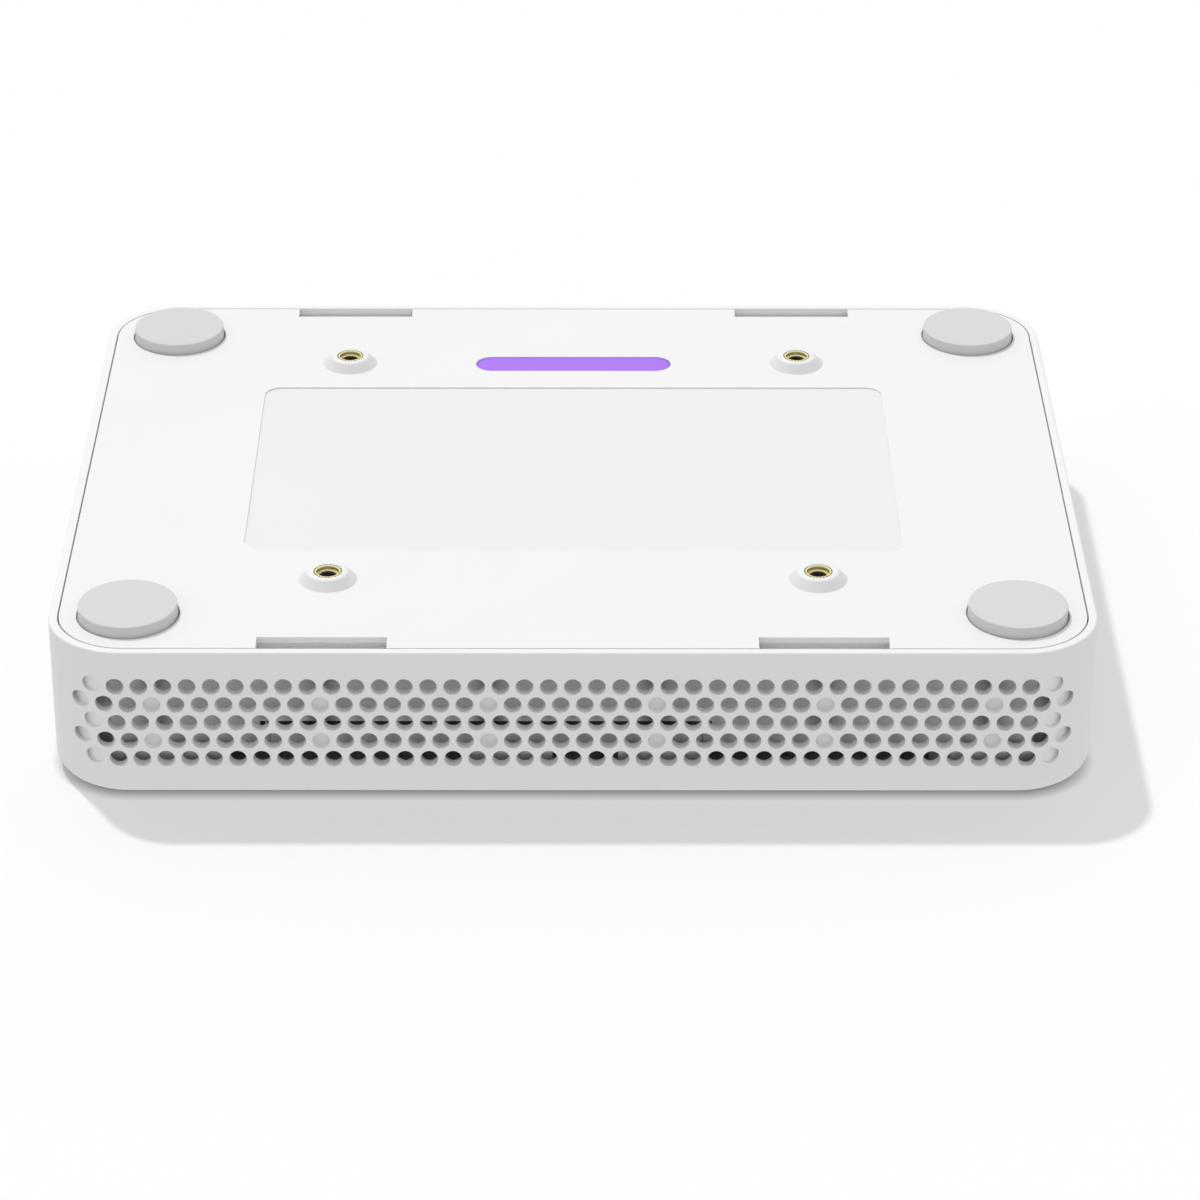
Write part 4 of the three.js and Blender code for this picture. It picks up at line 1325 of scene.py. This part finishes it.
def make_sink_folds(finishes):
    """Folds of the lower heatsink's wall: a lip in front of the board, and tabs at its ends."""
    low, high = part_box("lower_heatsink")
    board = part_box("main_board")[0]
    tongue_low, tongue_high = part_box("upper_heatsink")
    sheet = 0.5 * MM
    front, wall_back, bottom = board.y - 0.1 * MM, low.y + sheet, board.z - 1.4 * MM
    left, right = tongue_low.x - 4.5 * MM, tongue_high.x + 6 * MM
    bm = bmesh.new()
    block(bm, (left, front - sheet, bottom), (right, front, board.z + 0.45 * MM))
    block(bm, (left, front - sheet / 2, bottom), (right, wall_back, bottom + sheet))
    less = 0.2 * MM
    for start, end in ((tongue_high.x + less, right - less), (left + less, tongue_low.x - less)):
        block(bm, (start, wall_back, tongue_low.z), (end, wall_back + sheet, high.z))
    tab = low.y + 1.3 * MM
    for side in (-1, 1):
        ends = sorted((side * (high.x - 1 * MM), side * (high.x + 4 * MM)))
        block(bm, (ends[0], tab, low.z + 3 * MM), (ends[1], tab + sheet, high.z))
    finished(bm, "sink_folds", finishes["aluminium"])


def make_antenna_faces(finishes):
    """The tinned feet by which the antennas stand behind the last row of front holes."""
    # How much further each one goes to the left and to the right than its antenna.
    wider = {
        1: (0.7 * MM, 6.3 * MM),
        2: (1.6 * MM, 5.3 * MM),
        3: (2.6 * MM, 2 * MM),
        4: (2 * MM, -3.9 * MM),
    }
    sheet = 0.5 * MM
    for i, (less, more) in wider.items():
        low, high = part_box(f"antenna_{i}")
        front, top = low.y - 2.4 * MM, high.z - GAP
        bm = bmesh.new()
        block(bm, (low.x - less, front, low.z - 1.7 * MM), (high.x + more, front + sheet, top))
        root = (low.x, front + sheet / 2, top - sheet)
        block(bm, root, (min(high.x, high.x + more), low.y + sheet, top))
        finished(bm, f"antenna_face_{i}", finishes["antenna"])


def paint_inside(finishes):
    painted = {
        "main_board": "board",
        "processor": "black",
        "memory_chip_left": "black",
        "memory_chip_right": "black",
        "processor_thermal_pad": "pad",
        "upper_thermal_pad": "pad",
        "radio_shield_left": "shield",
        "radio_shield_right": "shield",
        "lower_heatsink": "aluminium",
        "upper_heatsink": "aluminium",
        "wps_switch": "black",
        "reset_switch": "black",
        "status_light_pipe": "clear",
        "status_led": "clear",
    }
    for node, finish in painted.items():
        paint(node, finishes[finish])
    for i in range(1, 5):
        paint(f"antenna_{i}", finishes["antenna"])
        paint(f"antenna_lead_{i}", finishes["sleeve"])


# ------------------------------------------------------------------------------
# Stage
# ------------------------------------------------------------------------------

FLOOR_HALF = 12
FLOOR_COLOUR = 0.72
FLOOR_GLOW = 0.155
# Share of the floor's tone and glow that is left in the painted contact shadow, where a body
# touches it.
CONTACT_SHARE = 0.35
# Brightness of the room where the camera looks straight at it.
BACKDROP = 0.96


def contact_shade(tree):
    """How dark a floor is close under the rounded edge of a body that lies on it."""
    size = sizes("router_cover")
    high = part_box("top_cover")[1]
    reach = past_rectangle(object_place(tree), (high.x - size.corner, high.y - size.corner))
    return ranged(reach, 0, 1, size.corner - 2.9 * MM, size.corner + 1.2 * MM)


def one_sided_floor(name, level, facing, contact=False):
    """A pale floor that shows only from the side it faces, and throws no light at the object."""
    bm = bmesh.new()
    bmesh.ops.create_grid(bm, x_segments=1, y_segments=1, size=FLOOR_HALF)
    if facing < 0:
        bmesh.ops.reverse_faces(bm, faces=bm.faces[:])
    bmesh.ops.translate(bm, vec=(0, 0, level), verts=bm.verts[:])
    floor = add_object(name, as_mesh(bm, name))
    for kind in ("diffuse", "glossy", "transmission", "volume_scatter", "shadow"):
        setattr(floor, "visible_" + kind, False)
    material, tree, shader = new_material(name)
    for socket, part in (("Base Color", FLOOR_COLOUR), ("Emission Color", FLOOR_GLOW)):
        colour = (part, part, part)
        # Painted contact shadow: the floor's tone and glow go darker close under the body's rounded
        # edge.
        if contact:
            shaded = mixed(contact_shade(tree), scaled(colour, CONTACT_SHARE), colour)
            feed(shader, {socket: shaded})
        else:
            feed(shader, {socket: (*colour, 1)})
    feed(shader, {"Emission Strength": 1, "Specular IOR Level": 0, "Roughness": 1})
    clear = add_node(tree, "BsdfTransparent").outputs[0]
    away = add_node(tree, "NewGeometry").outputs["Backfacing"]
    mix = add_node(tree, "MixShader", {0: away, 1: shader.outputs[0], 2: clear})
    feed(tree.nodes["Material Output"], {"Surface": mix.outputs[0]})
    floor.data.materials.append(material)
    floor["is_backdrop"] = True


def add_key(name, towards, share=1):
    """A distant soft lamp. towards is the direction from the object to the lamp."""
    stage = sizes("router_stage")
    lamp = bpy.data.lights.new(name, "SUN")
    lamp.energy = stage.key_power * share
    lamp.angle = stage.key_softness
    obj = add_object(name, lamp)
    obj.rotation_mode = "QUATERNION"
    obj.rotation_quaternion = (-Vector(towards)).to_track_quat("-Z", "Y")


def make_room():
    """An even pale room, a little brighter behind the object than in front of it."""
    stage = sizes("router_stage")
    world = bpy.data.worlds.new("room")
    world.use_nodes = True
    bpy.context.scene.world = world
    tree = world.node_tree
    direction = add_node(tree, "TexCoord").outputs["Generated"]
    depth = add_node(tree, "SeparateXYZ", {0: direction}).outputs["Y"]
    glow = ranged(depth, stage.sky_front, stage.sky_back, -1, 1)
    seen = add_node(tree, "LightPath").outputs["Is Camera Ray"]
    strength = add_node(tree, "Mix", {0: seen, 2: glow, 3: BACKDROP}).outputs[0]
    feed(tree.nodes["Background"], {"Strength": strength, "Color": (1, 1, 1, 1)})


def make_camera():
    """The router is seen upside down, from below its feet, so the camera is upside down too."""
    stage = sizes("router_stage")
    forward = Vector((
        math.sin(stage.turn) * math.cos(stage.tilt),
        math.cos(stage.turn) * math.cos(stage.tilt),
        math.sin(stage.tilt)
    ))
    right = Vector((-math.cos(stage.turn), math.sin(stage.turn), 0))
    upwards = right.cross(forward)
    camera = bpy.data.cameras.new("camera")
    camera.lens = stage.lens
    camera.sensor_width = 36
    camera.shift_x = stage.shift
    camera.clip_start, camera.clip_end = 0.01, 100
    obj = add_object("camera", camera)
    turn = Matrix((right, upwards, -forward)).transposed()
    obj.matrix_world = Matrix.Translation(stage.eye) @ turn.to_4x4()
    bpy.context.scene.camera = obj


def make_stage():
    low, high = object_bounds()
    make_camera()
    gap = 0.05 * MM
    one_sided_floor("table_under_top", high.z + gap, -1, contact=True)
    one_sided_floor("table_under_feet", low.z - gap, 1)
    add_key("key_for_underside", (0.280, 0.447, -0.849))
    add_key("key_for_top", (0, 0.87, 0.49), 0.6)
    make_room()
    view = bpy.context.scene.view_settings
    view.view_transform = "Standard"


# ------------------------------------------------------------------------------
# Operators and panel
# ------------------------------------------------------------------------------

shared_finishes = {}


def all_finishes():
    if not shared_finishes:
        shared_finishes.update(make_finishes())
    return shared_finishes


class ROUTER_OT_stage(bpy.types.Operator):
    """Add the camera, the floors, the lamps and the room"""

    bl_idname = "router.stage"
    bl_label = "Stage"

    def execute(self, context):
        make_stage()
        return {"FINISHED"}


class ROUTER_OT_cover(bpy.types.Operator):
    """Build the cover, with its front holes, ribs, posts and rear openings"""

    bl_idname = "router.cover"
    bl_label = "Cover"

    def execute(self, context):
        make_cover(all_finishes())
        return {"FINISHED"}


class ROUTER_OT_plate(bpy.types.Operator):
    """Build the bottom plate and its inlay"""

    bl_idname = "router.plate"
    bl_label = "Bottom Plate and Inlay"

    def execute(self, context):
        make_plate(all_finishes())
        make_inlay(all_finishes())
        return {"FINISHED"}


class ROUTER_OT_feet(bpy.types.Operator):
    """Build the four rubber feet"""

    bl_idname = "router.feet"
    bl_label = "Feet"

    def execute(self, context):
        make_feet(all_finishes())
        return {"FINISHED"}


class ROUTER_OT_inserts(bpy.types.Operator):
    """Build the four knurled brass inserts"""

    bl_idname = "router.inserts"
    bl_label = "Inserts"

    def execute(self, context):
        make_inserts(all_finishes())
        return {"FINISHED"}


class ROUTER_OT_screws(bpy.types.Operator):
    """Build the case screws and the board screws"""

    bl_idname = "router.screws"
    bl_label = "Screws"

    def execute(self, context):
        make_screws(all_finishes())
        return {"FINISHED"}


class ROUTER_OT_sockets(bpy.types.Operator):
    """Build the network sockets and the power inlet"""

    bl_idname = "router.sockets"
    bl_label = "Sockets"

    def execute(self, context):
        make_sockets(all_finishes())
        make_power_inlet(all_finishes())
        return {"FINISHED"}


class ROUTER_OT_buttons(bpy.types.Operator):
    """Build the two push buttons"""

    bl_idname = "router.buttons"
    bl_label = "Buttons"

    def execute(self, context):
        make_buttons(all_finishes())
        return {"FINISHED"}


class ROUTER_OT_inside(bpy.types.Operator):
    """Paint the board, the heatsinks, the antennas and the status light"""

    bl_idname = "router.inside"
    bl_label = "Inside"

    def execute(self, context):
        make_sink_folds(all_finishes())
        make_antenna_faces(all_finishes())
        paint_inside(all_finishes())
        return {"FINISHED"}


OPERATORS = (
    ROUTER_OT_stage,
    ROUTER_OT_cover,
    ROUTER_OT_plate,
    ROUTER_OT_feet,
    ROUTER_OT_inserts,
    ROUTER_OT_screws,
    ROUTER_OT_sockets,
    ROUTER_OT_buttons,
    ROUTER_OT_inside,
)

GROUPS = {
    "router_cover": CoverSizes,
    "router_plate": PlateSizes,
    "router_details": DetailSizes,
    "router_colours": FinishColours,
    "router_stage": StageSizes,
}


class ROUTER_PT_pieces(bpy.types.Panel):
    """Lists the router's pieces in the sidebar"""

    bl_idname = "ROUTER_PT_pieces"
    bl_label = "Router"
    bl_space_type = "VIEW_3D"
    bl_region_type = "UI"
    bl_category = "Router"

    def draw(self, context):
        column = self.layout.column()
        for operator in OPERATORS:
            column.operator(operator.bl_idname)
        for group in GROUPS:
            values = getattr(context.scene, group)
            box = self.layout.box()
            for key in values.bl_rna.properties.keys():
                if key not in ("rna_type", "name"):
                    box.prop(values, key)


def register():
    for group in GROUPS.values():
        bpy.utils.register_class(group)
    for name, group in GROUPS.items():
        setattr(bpy.types.Scene, name, PointerProperty(type=group))
    for operator in OPERATORS:
        bpy.utils.register_class(operator)
    bpy.utils.register_class(ROUTER_PT_pieces)


def unregister():
    bpy.utils.unregister_class(ROUTER_PT_pieces)
    for operator in reversed(OPERATORS):
        bpy.utils.unregister_class(operator)
    for name in GROUPS:
        delattr(bpy.types.Scene, name)
    for group in reversed(GROUPS.values()):
        bpy.utils.unregister_class(group)


def main():
    register()
    for operator in OPERATORS:
        area, name = operator.bl_idname.split(".")
        getattr(getattr(bpy.ops, area), name)()
    boxes = {"cad": cad_box, "visual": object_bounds()}
    lists = {key: [list(corner) for corner in box] for key, box in boxes.items()}


if __name__ == "__main__":
    main()
